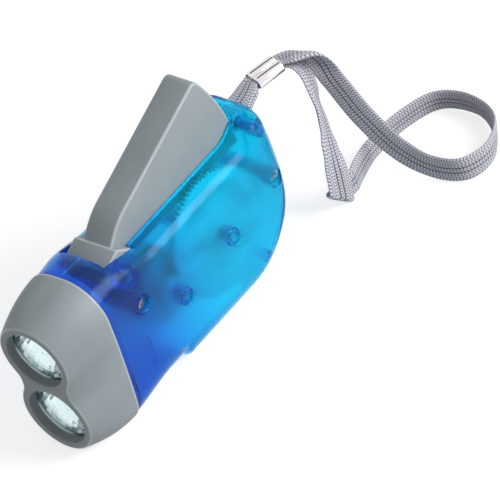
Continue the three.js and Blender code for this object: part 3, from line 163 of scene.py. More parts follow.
def on_curve(places, at):
    """A point on the smooth centripetal curve through places, at from 0 to its last row."""
    last = len(places) - 1
    row = min(last - 1, int(at))
    t = at - row
    p1, p2 = places[row], places[row + 1]
    p0 = places[row - 1] if row > 0 else 2 * p1 - p2
    p3 = places[row + 2] if row + 2 <= last else 2 * p2 - p1
    d0, d1, d2 = (max(1e-4, (b - a).length) ** 0.5 for a, b in ((p0, p1), (p1, p2), (p2, p3)))
    m1 = ((p1 - p0) / d0 - (p2 - p0) / (d0 + d1) + (p2 - p1) / d1) * d1
    m2 = ((p2 - p1) / d1 - (p3 - p1) / (d1 + d2) + (p3 - p2) / d2) * d1
    t2, t3 = t * t, t ** 3
    start, end = (2 * t3 - 3 * t2 + 1) * p1, (3 * t2 - 2 * t3) * p2
    return start + (t3 - 2 * t2 + t) * m1 + end + (t3 - t2) * m2


def rulings_along(route):
    """Rulings along a route: two edges, the side that faces up, thickness and ways."""
    rows = [(*row, WIDTH, THICK)[:8] for row in route]
    places = [Vector(row[:3]) for row in rows]
    count = (len(rows) - 1) * ROUTE_STEPS
    line = [on_curve(places, i / ROUTE_STEPS) for i in range(count + 1)]
    made, gone, goal = [], 0.0, 0.0
    for i, place in enumerate(line):
        gone += (place - line[i - 1]).length if i else 0
        if gone < goal and i < count:
            continue
        goal += RULING_GAP
        travel = (line[min(count, i + 2)] - line[max(0, i - 2)]).normalized()
        row = min(len(rows) - 2, i // ROUTE_STEPS)
        blend = rise(i / ROUTE_STEPS - row)
        *flat, width, thick = (mix(p, q, blend) for p, q in zip(rows[row][3:], rows[row + 1][3:]))
        flat = Vector(flat)
        flat = (flat - flat.dot(travel) * travel).normalized()
        half = flat * width / 2
        made.append((place - half, place + half, travel.cross(flat), thick, gone, gone))
    return made, line


rulings_in, line_in = rulings_along(to_fold)
rulings_out, line_out = rulings_along(from_fold)
print("rulings before and after the fold", len(rulings_in), len(rulings_out))

# %% [markdown]
# In the fold the rulings fan out: the upper edge runs on while the lower one waits,
# both reach the crease, the webbing turns over, and then the lower edge catches up.
# A strip bent round a corner would stand up like a cone, but real webbing lies flat
# there, so the crease is a straight line with a small round turn.

# %% Rulings of the fold
FOLD_RADIUS, FOLD_TURN = 0.7, 2.2
UPPER_EDGE, LOWER_EDGE = (11.7, 5.0), (3.7, 13.0)   # ways to the crease and on from it
CREASE_LOW, CREASE_HIGH = (65.8, -17.3, 0.6), (57.8, -17.3, 9.4)


def fold_rulings(first, last, steps=16):
    """Rulings of the flat fold between two rulings, with the turn at the crease."""
    low, high = Vector(CREASE_LOW), Vector(CREASE_HIGH)
    along = (low - high).normalized()
    out = Vector((-1, 0, 0)) - Vector((-1, 0, 0)).dot(along) * along
    out.normalize()
    side = Vector((0, 1, 0))
    near, far = side * FOLD_RADIUS, -side * FOLD_RADIUS
    start = first[4]
    ways = [start + edge[0] for edge in (UPPER_EDGE, LOWER_EDGE)]
    made = []
    for share in spaced(0, 1, steps)[1:-1]:
        edges = first[0].lerp(high + near, share), first[1].lerp(low + near, share)
        made.append((*edges, -side, THICK, *(mix(start, way, share) for way in ways)))
    for angle in spaced(0, math.pi, 8):
        turn = math.cos(angle) * side + math.sin(angle) * out
        edges = high + turn * FOLD_RADIUS, low + turn * FOLD_RADIUS
        made.append((*edges, -turn, THICK, *(way + FOLD_RADIUS * angle for way in ways)))
    end = start + sum(UPPER_EDGE) + FOLD_TURN
    for share in spaced(0, 1, steps)[1:-1]:
        edges = (high + far).lerp(last[0], share), (low + far).lerp(last[1], share)
        up = side.lerp(last[2], share).normalized()
        made.append((*edges, up, THICK, *(mix(way + FOLD_TURN, end, share) for way in ways)))
    return made, end


rulings_fold, fold_end = fold_rulings(rulings_in[-1], rulings_out[0])
rulings_out = [(*r[:4], r[4] + fold_end, r[5] + fold_end) for r in rulings_out]
rulings = rulings_in + rulings_fold + rulings_out

# %% [markdown]
# Fine pieces are built from points and faces in code. These helpers take millimetres,
# make the mesh and the object, and turn every face outward. Most forms here are rings
# of points with a skin of four-sided faces between them, along the piece or round it.

# %% A mesh from points
def mesh_of(name, points, faces):
    """A mesh in metres from points in millimetres."""
    mesh = bpy.data.meshes.new(name)
    mesh.from_pydata([tuple(c * MM for c in p) for p in points], [], faces)
    mesh.validate()
    mesh.update()
    return mesh


def object_of(name, mesh):
    made = bpy.data.objects.new(name, mesh)
    bpy.context.scene.collection.objects.link(made)
    return made


def outward(piece):
    """Makes every face look out of a closed mesh."""
    work = bmesh.new()
    work.from_mesh(piece.data)
    bmesh.ops.recalc_face_normals(work, faces=work.faces)
    if work.calc_volume(signed=True) < 0:
        bmesh.ops.reverse_faces(work, faces=work.faces)
    work.to_mesh(piece.data)
    work.free()
    return piece


def quads(rings, count, closed=False):
    """Faces between rings of count points, and from the last to the first if closed."""
    return [
        (i * count + j, i * count + (j + 1) % count,
         (i + 1) % rings * count + (j + 1) % count, (i + 1) % rings * count + j)
        for i in range(rings if closed else rings - 1) for j in range(count)
    ]


def lofted(name, rings):
    """A closed skin over rings of equally many points, with flat ends."""
    count = len(rings[0])
    last = (len(rings) - 1) * count
    ends = [tuple(range(count))[::-1], tuple(last + j for j in range(count))]
    points = [p for ring in rings for p in ring]
    return outward(object_of(name, mesh_of(name, points, quads(len(rings), count) + ends)))


# %% [markdown]
# Webbing is knitted flat, in columns of small slanted stitches that meet in a
# herringbone, with two deeper grooves near the middle. A strip swept along the
# route could carry all of that as a bump only, but its edges and grooves would
# then look flat from the side, so the columns and the slant are real relief here
# and only the threads of a stitch are left to the material.

# %% Strap webbing
COLUMNS = 10
GROOVES = (4, 6)
GROOVE_DEPTH, COLUMN_DEPTH, STITCH_DEPTH = 0.3, 0.06, 0.05
STITCH, SLANT = 1.0, 0.6
CUP_AT, CUP_REACH, CUP_DEPTH = 31.0, 5, 2.4


def relief(across, along):
    """Height of the knit at a share across the strap and a distance along it."""
    column = (across + 1) / 2 * COLUMNS
    inside = column % 1
    slant = inside if int(column) % 2 == 0 else 1 - inside
    valley = (2 * abs(inside - 0.5)) ** 4
    deep = GROOVE_DEPTH if int(column + 0.5) in GROOVES else COLUMN_DEPTH
    stitch = 0.5 + 0.5 * math.cos(2 * math.pi * (along / STITCH + slant * SLANT))
    return -deep * valley - STITCH_DEPTH * stitch


def webbing_strip(name, cross=41):
    """The knitted strip over the rulings, as a closed mesh with UVs across and along."""
    rings, marks = [], []
    shares = [-1 + 2 * j / (cross - 1) for j in range(cross)]
    for minus, plus, up, thick, along_minus, along_plus in rulings:
        ring = []
        for side, row in ((1, shares), (-1, shares[::-1])):
            for share in row:
                part = (share + 1) / 2
                along = mix(along_minus, along_plus, part)
                edge = math.sqrt(max(0.0, 1 - abs(share) ** 5))
                near_crimp = math.exp(-((along - CUP_AT) / CUP_REACH) ** 2)
                cup = CUP_DEPTH * (1 - share ** 2) * near_crimp
                height = cup + side * edge * (thick / 2 + relief(share, along))
                ring.append(minus.lerp(plus, part) + up * height)
                marks.append((part, along / 10))
        rings.append(ring)
    strip = lofted(name, rings)
    layer = strip.data.uv_layers.new(name="knit")
    for corner in strip.data.loops:
        layer.data[corner.index].uv = marks[corner.vertex_index]
    return strip


wrist_strap = webbing_strip("wrist_webbing")
print("strap faces", len(wrist_strap.data.polygons))

# %% [markdown]
# A material in Blender is a small graph. Most of it is one Principled shader, and a
# few texture nodes feed its colour, its roughness and a Bump node. These helpers
# keep the graphs readable: one makes the shader, one adds and wires any node, and
# the others make the sums and colour ramps that come up again and again.

# %% Material helpers
def finish_named(name, **sockets):
    """A new material with one Principled shader and its plain values."""
    look = bpy.data.materials.new(name)
    look.use_nodes = True
    shader = look.node_tree.nodes["Principled BSDF"]
    for socket, value in sockets.items():
        shader.inputs[socket.replace("_", " ")].default_value = value
    return look, shader


def node(look, kind, links=None, **settings):
    """A node in a material, with its settings, its values and its links."""
    made = look.node_tree.nodes.new(kind)
    for name, value in settings.items():
        setattr(made, name, value)
    for socket, value in (links or {}).items():
        if isinstance(value, bpy.types.NodeSocket):
            look.node_tree.links.new(value, made.inputs[socket])
        else:
            made.inputs[socket].default_value = value
    return made


def math_node(look, how, *values):
    """The result of one sum on sockets and numbers."""
    return node(look, "ShaderNodeMath", dict(enumerate(values)), operation=how).outputs[0]


def feed(look, source, shader, socket):
    look.node_tree.links.new(source, shader.inputs[socket])


def ramp(look, source, stops):
    """A colour ramp with its stops as (place, colour)."""
    made = node(look, "ShaderNodeValToRGB", {"Fac": source})
    band = made.color_ramp
    while len(band.elements) < len(stops):
        band.elements.new(0.5)
    for element, (place, colour) in zip(band.elements, stops):
        element.position = place
        element.color = colour if len(colour) == 4 else (*colour, 1)
    return made.outputs["Color"]


def srgb(red, green, blue):
    """A colour as read on a screen, 0 to 255, in Blender's linear values."""
    shares = [value / 255 for value in (red, green, blue)]
    return tuple(
        s / 12.92 if s <= 0.04045 else ((s + 0.055) / 1.055) ** 2.4 for s in shares
    ) + (1,)


# %% [markdown]
# The yarn is a pale lilac grey, with painted shade deep between the stitches and in the
# two grooves. The knit's own coordinates run across and along the strip, so the thread
# pattern follows every bend. A fine wave makes the twisted threads, and a little sheen
# gives the soft edge that yarn shows against the light.

# %% Webbing finish
webbing, yarn = finish_named(
    "webbing_yarn", Roughness=0.85, Sheen_Weight=0.25, Sheen_Roughness=0.5,
    Specular_IOR_Level=0.25,
)


def of_yarn(how, *values):
    return math_node(webbing, how, *values)


knit = node(webbing, "ShaderNodeUVMap", uv_map="knit").outputs["UV"]
knit_axes = node(webbing, "ShaderNodeSeparateXYZ", {"Vector": knit}).outputs
column_at = of_yarn("MULTIPLY", knit_axes["X"], COLUMNS)
stitch_at = of_yarn("MULTIPLY", knit_axes["Y"], 10 / STITCH)
slanted = of_yarn("MULTIPLY_ADD", of_yarn("PINGPONG", column_at, 1.0), SLANT, stitch_at)
stitch_wave = of_yarn("COSINE", of_yarn("MULTIPLY", slanted, 2 * math.pi))
stitch_level = of_yarn("MULTIPLY_ADD", stitch_wave, -0.5, 0.5)
column_wave = of_yarn("MULTIPLY", of_yarn("PINGPONG", column_at, 0.5), 2.0)
# Painted shade: the knit is darker between stitches and between columns; the same value is the bump's
# relief.
knit_relief_and_shade = of_yarn("MULTIPLY", stitch_level, of_yarn("POWER", column_wave, 0.5))
fibre = node(webbing, "ShaderNodeTexNoise", {
    "Vector": node(webbing, "ShaderNodeTexCoord").outputs["Object"],
    "Scale": 5200.0, "Detail": 3.0,
}).outputs["Fac"]
from_middle = of_yarn("ABSOLUTE", of_yarn("SUBTRACT", column_at, COLUMNS / 2))
from_groove = of_yarn("ABSOLUTE", of_yarn("SUBTRACT", from_middle, 1.0))
# Painted shade in the two grooves near the middle, which also dips the bump there.
groove_dip_and_shade = of_yarn("MINIMUM", of_yarn("MULTIPLY_ADD", from_groove, 1.6, 0.1), 1.0)
level = of_yarn("MULTIPLY", of_yarn("MULTIPLY_ADD", fibre, 0.35, knit_relief_and_shade), groove_dip_and_shade)
# The ramp's dark stop is the painted shade deep in the knit; the fibre noise adds a tone that differs
# at random.
feed(webbing, ramp(webbing, level, [
    (0.05, srgb(84, 86, 102)), (0.42, srgb(180, 182, 194)), (1.0, srgb(232, 232, 240)),
]), yarn, "Base Color")
threads = node(webbing, "ShaderNodeBump", {"Height": level, "Distance": 0.12 * MM, "Strength": 0.9})
feed(webbing, threads.outputs["Normal"], yarn, "Normal")
print("nodes in the webbing finish", len(webbing.node_tree.nodes))

# %% [markdown]
# Every finished piece goes through the same last steps: smooth shading that stays
# sharp at real corners, its finish, the body that carries it, and the solids that it
# stands for. One helper does them all, and the strap is the first piece to use it.

# %% Dressing a piece
def smooth(piece, degrees):
    """Smooth shading that stays sharp at corners above an angle."""
    mesh = piece.data
    mesh.shade_smooth()
    mesh.set_sharp_from_angle(angle=math.radians(degrees))


def dress(piece, body, finish, stands_for, degrees, edge_finish=None):
    """Shading, finish, body and the solids that a piece stands for."""
    smooth(piece, degrees)
    looks = [finish, edge_finish] if edge_finish else [finish]
    for k, look in enumerate(looks):
        if k < len(piece.data.materials):
            piece.data.materials[k] = look
        else:
            piece.data.materials.append(look)
    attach(piece, body)
    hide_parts(*stands_for)
    return piece


dress(wrist_strap, "housing", webbing, ["strap_loop"], 60)
print("dressed", wrist_strap.name)

# %% [markdown]
# Moulded and drawn surfaces are never quite even. A noise texture gives them a fine
# grain, as a bump and as a roughness that wanders with it. Most finishes here are
# one colour with a grain of their own, so they share one helper. The first of them
# is the crimp's bright nickel.

# %% Fine grain
def grain(look, shader, size, depth, rough=None):
    """Fine moulded grain: a bump, and a roughness that wanders with it."""
    place = node(look, "ShaderNodeTexCoord").outputs["Object"]
    noise = node(look, "ShaderNodeTexNoise", {
        "Vector": place, "Scale": 1 / (size * MM), "Detail": 2.0,
    })
    bump = node(look, "ShaderNodeBump", {
        "Height": noise.outputs["Fac"], "Distance": depth * MM, "Strength": 1.0,
    })
    feed(look, bump.outputs["Normal"], shader, "Normal")
    if rough:
        spread = node(look, "ShaderNodeMapRange", {
            "Value": noise.outputs["Fac"], "To Min": rough[0], "To Max": rough[1],
        })
        feed(look, spread.outputs["Result"], shader, "Roughness")
    return place, noise.outputs["Fac"]


def plain_finish(name, colour, roughness, size, depth, rough=None, **sockets):
    """A finish of one screen colour, with a grain of a size and a depth."""
    look, shader = finish_named(name, Base_Color=srgb(*colour), Roughness=roughness, **sockets)
    grain(look, shader, size, depth, rough)
    return look


chrome = plain_finish(
    "bright_nickel", (232, 229, 230), 0.12, 2.5, 0.001, (0.1, 0.13), Metallic=1.0,
)
print("finish", chrome.name)

# %% [markdown]
# The crimp is a short brass tube with a bright nickel finish, pressed into two round
# lobes over both strands. Its solid has flat facets, so a finer tube is made with the
# same section: two circles that meet in a valley, with a rolled lip at each end.

# %% Strap crimp
CRIMP_PLACE, CRIMP_TURN, CRIMP_LENGTH = (66.6, 0.45, 45.45), -14, 9.6
LOBE_RADIUS, LOBE_OFFSET = 2.1, 1.8
CRIMP_WALL = 0.5


def crimp_outline(grow, count=96):
    """The crimp's section as (y, z) points, its two lobes grown by an amount."""
    outline = []
    for i in range(count):
        angle = 2 * math.pi * i / count
        a, b = abs(math.cos(angle)), abs(math.sin(angle))
        chord = (LOBE_RADIUS + grow) ** 2 - (LOBE_OFFSET * b) ** 2
        reach = LOBE_OFFSET * a + math.sqrt(max(0.25, chord))
        outline.append((reach * math.cos(angle), reach * math.sin(angle)))
    return outline


def crimp():
    half, lip, mouth = CRIMP_LENGTH / 2, 0.3, 1.2
    outside = [(-half, -lip), (-half + 0.1, -0.1), (-half + lip, 0)]
    outside += [(-x, grow) for x, grow in outside[::-1]]
    inside = [(half - 0.05, 0.08 - CRIMP_WALL), (half - mouth, -CRIMP_WALL)]
    inside += [(-x, grow) for x, grow in inside[::-1]]
    profile = outside + inside
    turn_z = Matrix.Rotation(math.radians(CRIMP_TURN), 3, "Z")
    points = [
        turn_z @ Vector((x, y, z)) + Vector(CRIMP_PLACE)
        for x, grow in profile for y, z in crimp_outline(grow)
    ]
    faces = quads(len(profile), len(points) // len(profile), closed=True)
    return outward(object_of("strap_crimp", mesh_of("strap_crimp", points, faces)))


strap_crimp = dress(crimp(), "housing", chrome, ["strap_clamp"], 40)
print("crimp faces", len(strap_crimp.data.polygons))

# %% [markdown]

# %% [markdown]
# The body is moulded in a clear plastic with a blue dye. The outside is polished and
# the inside is etched in the mould, which blurs the mechanism behind it. Light loses
# red first and then green on its way through, so one wall looks pale cyan and a
# thick post looks deep blue. A volume that absorbs gives this by itself. A ramp along
# the body paints the neck deeper and more violet: painted shade, where the head's parts
# keep the light out. The roughness differs between the outside and the hollow, less so up near the
# deck.

# %% Clear blue finish
DEEP_AT, PALE_AT = -34, 14
ETCHED_TO, POLISHED_FROM = 38, 44

clear_blue, blue_shader = finish_named(
    "clear_blue", Transmission_Weight=0.955, IOR=1.25, Specular_Tint=(0.5, 0.72, 1, 1),
)
blue_place = node(clear_blue, "ShaderNodeTexCoord").outputs["Object"]
blue_axes = node(clear_blue, "ShaderNodeSeparateXYZ", {"Vector": blue_place}).outputs
painted_neck_shade = node(clear_blue, "ShaderNodeMapRange", {
    "Value": blue_axes["X"], "From Min": DEEP_AT * MM, "From Max": PALE_AT * MM,
})
# Painted shade: the base colour deepens to violet blue towards the neck, where the head's parts keep
# the light out.
feed(clear_blue, ramp(clear_blue, painted_neck_shade.outputs["Result"], [
    (0.0, (0.34, 0.38, 0.87)), (0.3, (0.26, 0.42, 0.87)),
    (0.65, (0.12, 0.67, 0.92)), (1.0, (0.05, 0.87, 0.98)),
]), blue_shader, "Base Color")
dye = node(clear_blue, "ShaderNodeVolumeAbsorption", {
    "Color": (0, 0.914, 0.981, 1), "Density": 1000.0,
})
blue_output = clear_blue.node_tree.nodes["Material Output"]
feed(clear_blue, dye.outputs["Volume"], blue_output, "Volume")
etched = node(clear_blue, "ShaderNodeAttribute", attribute_name="frost").outputs["Fac"]
below_deck = node(clear_blue, "ShaderNodeMapRange", {
    "Value": blue_axes["Z"], "From Min": ETCHED_TO * MM, "From Max": POLISHED_FROM * MM,
    "To Min": 1.0, "To Max": 0.2,
}).outputs["Result"]
frost_level = node(clear_blue, "ShaderNodeMapRange", {
    "Value": math_node(clear_blue, "MULTIPLY", etched, below_deck),
    "To Min": 0.18, "To Max": 0.55,
})
feed(clear_blue, frost_level.outputs["Result"], blue_shader, "Roughness")
print("nodes in the clear finish", len(clear_blue.node_tree.nodes))

# %% [markdown]
# The body is one lofted form, cut in two. Its sections are rounded rectangles that
# change along the body: tall and round at the neck, square with a soft edge in the
# middle, and drawn in at the back. The same few sizes that set the solid's sections
# set these, only with many more points, so the light runs along the edges cleanly.

# %% Sizes of the body
FRONT_X, RIM_X, REAR_X = -51.8, -31.8, 51.8
RIM_HALF, SHELL_HALF, WALL = 15, 15, 1.5
DECK_Z, RIM_Z = 46.6, 52.2
CAP_WALL, SEAT, REVEAL = 1.6, 0.2, 0.3
PIVOT, GEAR, ROTOR = (-17.8, 43.0), (21.886, 24.0), (-2.003, 21.7)
SIDE_CROWN = 0.3
NECK, BROW_START, BROW = 23.2, 5, 20
BELLY_RISE, BELLY_RUN, BELLY_STEP = 2.4, 17, 2
RIM_TOP_CORNER, RIM_LOW_CORNER, DECK_CORNER = 13, 7.5, 8
TAIL, TAIL_Z, TAIL_POWER = 27.8, 38, 2.02
BACK_CORNER = 9.5
SHOULDER_X, SHOULDER_RAMP, SHOULDER_RISE, SHOULDER_CORNER = 45.5, 10.1, 3.8, 6
SHOULDER_DROP, SHOULDER_ROUND, SHOULDER_POWER = 8.4, 6.3, 3.5
LEAN, LEAN_TO = 2.4, 40
NECK_END, TAIL_X = RIM_X + NECK, REAR_X - TAIL
print("neck ends at", NECK_END, "mm, the back starts at", TAIL_X, "mm")

# %% [markdown]
# One function gives the section at any place along the body. Each feature is a smooth
# rise of its own, added to the rest: the brow over the neck, the step of the belly,
# the shoulder by the strap and the drawn-in back. That keeps each of them to a few
# sizes, where a sculpted mesh would have to be moved point by point.

# %% Section of the body
def crown_share(share, power):
    """A quarter of a superellipse: 1 at the middle, 0 at the end."""
    t = min(1, max(0, share))
    return (1 - t ** power) ** (1 / power)


def body_section(x, inset):
    """Half width, low, high, corner radii, crown and lean of the section at x."""
    blend = rise((x - RIM_X) / NECK)
    half = mix(RIM_HALF - REVEAL, SHELL_HALF, blend) - inset
    corner_x = REAR_X - BACK_CORNER
    if x > corner_x:
        reach = math.sqrt(max(0, (BACK_CORNER - inset) ** 2 - (x - corner_x) ** 2))
        half = SHELL_HALF - BACK_CORNER + reach
    shoulder = rise((x - SHOULDER_X + SHOULDER_RAMP) / SHOULDER_RAMP)
    brow = 1 - rise((x - RIM_X - BROW_START) / BROW)
    high = DECK_Z + (RIM_Z - DECK_Z - REVEAL) * brow + SHOULDER_RISE * shoulder - inset
    if x > SHOULDER_X:
        share = crown_share((x - SHOULDER_X) / (SHOULDER_ROUND - inset), SHOULDER_POWER)
        high = DECK_Z + SHOULDER_RISE - SHOULDER_DROP + (SHOULDER_DROP - inset) * share
    step = 1 - rise((x - NECK_END) / BELLY_STEP)
    low = (REVEAL + (BELLY_RISE - REVEAL) * rise((x - RIM_X) / BELLY_RUN)) * step + inset
    if x > TAIL_X:
        share = crown_share((x - TAIL_X) / (TAIL - inset), TAIL_POWER)
        low = TAIL_Z - (TAIL_Z - inset) * share
    most = min(half, (high - low) / 2) * 0.9
    deck_corner = mix(DECK_CORNER, SHOULDER_CORNER, shoulder)
    top = min(most, mix(RIM_TOP_CORNER, deck_corner, blend) - inset)
    bottom = min(most, mix(RIM_LOW_CORNER, DECK_CORNER, blend) - inset)
    crown = SIDE_CROWN * blend * half / SHELL_HALF
    return half, low, high, top, bottom, crown, 1 - blend


def rim_lean(z):
    """How far the rim lies in front of its upright part at a height."""
    return LEAN * max(0, 1 - z / LEAN_TO) ** 2


print("section in the middle", [round(value, 2) for value in body_section(0, 0)])

# %% [markdown]
# A ring is the section as points, with a quarter circle at each corner and a slight
# crown on the flanks. Set in by the wall, the same rings make the hollow.

# %% Rings of the body
def body_ring(x, inset, corner_steps=14, flank_steps=10):
    """The section at x as points, from the right side over the top to the left."""
    half, low, high, top, bottom, crown, lean = body_section(x, inset)
    points = []
    for quarter, (side, level) in enumerate([(1, 1), (-1, 1), (-1, -1), (1, -1)]):
        radius = top if level > 0 else bottom
        y = side * (half - radius)
        z = high - radius if level > 0 else low + radius
        for i in range(corner_steps + 1):
            angle = (quarter + i / corner_steps) * math.pi / 2
            points.append((x, y + radius * math.cos(angle), z + radius * math.sin(angle)))
        if quarter % 2:
            ends = (high - top, low + bottom)[::level]
            for share in spaced(0, 1, flank_steps)[1:-1]:
                points.append((x, side * (half + crown * 4 * share * (1 - share)), mix(*ends, share)))
    return [(x - lean * rim_lean(z), y, z) for _, y, z in points]


def rim_rings(inset, *places):
    """The section at the rim, set in, carried straight to places along X."""
    return [[(x, y, z) for _, y, z in body_ring(RIM_X, inset)] for x in places]


def body_stations(inset):
    """Places along the body, closer where its form turns quickly."""
    step_end = NECK_END + BELLY_STEP
    return [
        *spaced(RIM_X + SEAT, NECK_END, 30), *spaced(NECK_END, step_end, 8)[1:],
        *spaced(step_end, TAIL_X, 24)[1:],
        *(TAIL_X + (TAIL - inset) * math.sin(a) for a in spaced(0, math.pi / 2, 44)[1:]),
    ]


print("rings along the body", len(body_stations(0)))

# %% [markdown]
# Openings, posts and holes are cut and joined with Boolean modifiers. The Manifold
# solver wants closed meshes and gives closed ones back. Each modifier is turned into
# mesh at once, so the next one starts from a plain mesh.

# %% Cutting and joining
def settle(piece):
    """Turns the piece's modifiers into its mesh."""
    view = bpy.context.evaluated_depsgraph_get()
    mesh = bpy.data.meshes.new_from_object(piece.evaluated_get(view))
    piece.modifiers.clear()
    piece.data = mesh
    return piece


def combined(piece, others, how):
    """Adds, cuts or keeps the common part of closed meshes, and drops the tools."""
    for other in others:
        change = piece.modifiers.new("change", "BOOLEAN")
        change.operation = how
        change.solver = "MANIFOLD"
        change.object = other
        settle(piece)
        bpy.data.objects.remove(other)
    return piece


# %% [markdown]
# A lathe, a bar, a block and a plate are enough to build and to cut nearly everything
# that follows. The lathe welds the points that meet on its axis, because doubled
# points would split the shading and leave the mesh open.

# %% Simple forms
def welded(mesh, distance):
    """Joins the points that lie in one place, which would split the shading."""
    work = bmesh.new()
    work.from_mesh(mesh)
    bmesh.ops.remove_doubles(work, verts=work.verts, dist=distance)
    work.to_mesh(mesh)
    work.free()
    return mesh


def turned(name, profile, axis, place, sides):
    """A turned piece from [radius, along] points, about the X or the Y axis."""
    points = []
    for k in range(sides):
        angle = 2 * math.pi * k / sides
        a, b = math.cos(angle), math.sin(angle)
        for radius, along in profile:
            flat = (radius * a, along, radius * b)
            if axis == "X":
                flat = (along, radius * a, radius * b)
            points.append(tuple(f + p for f, p in zip(flat, place)))
    mesh = mesh_of(name, points, quads(sides, len(profile), closed=True))
    return outward(object_of(name, welded(mesh, 1e-7)))


def bar(name, place, radius, low, high, sides):
    """A plain round bar along Y at a place (x, z)."""
    profile = [(0, low), (radius, low), (radius, high), (0, high)]
    return turned(name, profile, "Y", (place[0], 0, place[1]), sides)


def block(name, low, high):
    """A block between two corners."""
    x, y, z = ((low[i], high[i]) for i in range(3))
    points = [(a, b, c) for a in x for b in y for c in z]
    faces = [(0, 1, 3, 2), (4, 6, 7, 5), (0, 4, 5, 1), (2, 3, 7, 6), (0, 2, 6, 4), (1, 5, 7, 3)]
    return outward(object_of(name, mesh_of(name, points, faces)))


def plate(name, outline, half):
    """A side outline of (x, z) points carried along Y, half to each side."""
    return lofted(name, [[(x, y, z) for x, z in outline] for y in (-half, half)])


def arc_points(radius, start, end, steps):
    return [(radius * math.cos(a), radius * math.sin(a)) for a in spaced(start, end, steps)]


# %% [markdown]
# Each half shell starts as the whole outer form. The hollow, the lever's slot, the
# strap's slot and the other half are cut away, then the posts that hold the shafts,
# pins and screws are joined to its inside and bored. This is the order in which a
# moulder would think of it: skin, openings, posts, holes. Here are the first two.

# %% Skin of a half shell
SHELL_INNER, FAR, SEAM = SHELL_HALF - WALL, RIM_HALF + 2, 0.08
STRAP_Z, SLOT_HALF, SLOT_HALF_WIDTH = 44.6, 1.75, 5
PLUG = CAP_WALL + SEAT - REVEAL
SWEEP_REACH, SWEEP_LOW, SWEEP_HIGH, SWEEP_HALF = 62.0, -2, RIM_Z + 2 - PIVOT[1], 6.4


def at_pivot(outline):
    return [(PIVOT[0] + x, PIVOT[1] + z) for x, z in outline]


def lever_sweep():
    """The space that the lever's arm sweeps, as a side outline carried along Y."""
    start, end = (math.asin(z / SWEEP_REACH) for z in (SWEEP_LOW, SWEEP_HIGH))
    arc = arc_points(SWEEP_REACH, start, end, 40)
    return plate("arm", at_pivot([(0, SWEEP_HIGH), (0, SWEEP_LOW), *arc]), SWEEP_HALF)


def two_finishes(piece):
    """Gives a mesh two material slots. dress puts the real finishes in them."""
    piece.data.materials.append(clear_blue)
    piece.data.materials.append(clear_blue)
    return piece


def etched_all_over(tool):
    """Marks all faces of a post or a hollow as inside ones, with the second slot."""
    two_finishes(tool)
    for face in tool.data.polygons:
        face.material_index = 1
    return tool


def shell_skin(side, name):
    """One half of the body's skin, with the openings for the lever and the strap."""
    outer = [body_ring(x, 0) for x in body_stations(0)]
    shell = two_finishes(lofted(name, rim_rings(PLUG, RIM_X - 4, RIM_X + SEAT) + outer))
    mouth = rim_rings(PLUG + 1.5, RIM_X - 6, RIM_X + 1)
    inner = [body_ring(x, WALL) for x in body_stations(WALL) if x > RIM_X + 2]
    combined(shell, [
        etched_all_over(lofted("hollow", mouth + inner)),
        block("base", (PIVOT[0] - 4.3, -8.9, PIVOT[1] - 2), (PIVOT[0] + 8.8, 8.9, RIM_Z + 2)),
        lever_sweep(),
        block("strap", (REAR_X - WALL - 2, -SLOT_HALF_WIDTH, STRAP_Z - SLOT_HALF),
              (REAR_X + 2, SLOT_HALF_WIDTH, STRAP_Z + SLOT_HALF)),
    ], "DIFFERENCE")
    near, far = sorted((side * SEAM / 2, side * FAR))
    half = block("half", (FRONT_X, near, -2), (REAR_X + 2, far, RIM_Z + 2))
    return combined(shell, [half], "INTERSECT")


# %% [markdown]
# Posts run from the flank towards the middle. Only the left half has a rib, and only
# the right one has a shelf for the spring and a seat for the coil's cup, as the
# mechanism is laid into the right half and the left one closes it.

# %% Posts of a half shell
POSTS = {
    "pivot": (*PIVOT, 3.6), "gear": (*GEAR, 2.9), "rotor": (*ROTOR, 2.9),
    "front_screw": (PIVOT[0], 32.9, 3.5), "rear_screw": (44.9, 27.5, 2.4),
    "strap": (46.9, STRAP_Z, 2.4), "stud": (31.7, 7.0, 1.8),
}
COLLAR_RADIUS, COLLAR_LENGTH = 3.4, 3
CUP_SEAT_RADIUS, CUP_SEAT_Y = 6, 10.6


def shell_bar(side, name, place, radius, near, far, sides=48):
    """A round bar across one half, between two distances from the middle."""
    return bar(name, place, radius, *sorted((side * near, side * far)), sides)


def shell_posts(side, tips):
    """The posts of one half, still too long on the outside."""
    posts = [
        shell_bar(side, "post", (x, z), radius, tips[key], FAR)
        for key, (x, z, radius) in POSTS.items()
    ]
    collar_y = SHELL_INNER - COLLAR_LENGTH
    posts.append(shell_bar(side, "collar", POSTS["rear_screw"][:2], COLLAR_RADIUS, collar_y, FAR))
    if side < 0:
        posts.append(block("rib", (RIM_X + 9.4, -FAR, 12), (RIM_X + 11.6, -SHELL_INNER + 0.6, 22)))
    else:
        x, z = PIVOT[0] + 7.4, PIVOT[1] - 9.1
        posts.append(block("shelf", (x - 3.1, -2.8, z - 1.5), (x + 3.1, FAR, z)))
        posts.append(shell_bar(side, "seat", ROTOR, CUP_SEAT_RADIUS, CUP_SEAT_Y, FAR))
    return posts


print("posts", ", ".join(POSTS))

# %% [markdown]
# The holes come last. Shafts and pins sit in blind bores that are etched like the
# hollow, each shaft's ring mark has a shallow recess on the flank, and the screws go
# through the left half into the right one.

# %% Holes of a half shell
BORES = {   # radius and blind end
    "pivot": (1.7, 12.6), "gear": (1.55, 13.4), "rotor": (1.3, 13.4), "strap": (1.5, 12.6),
}
RING_RADIUS, RING_Y = 2.9, SHELL_HALF + SIDE_CROWN + 0.22
RECESS_RADIUS, RECESS_Y = 1.8, RING_Y - 0.6
SHANK_RADIUS, COUNTERBORE_RADIUS = 1.4, 2.6
THREAD_RADIUS, THREAD_END = 1.3, 8.3
HEAD_BELOW, HEAD_ROOM = 1.6, 1.9


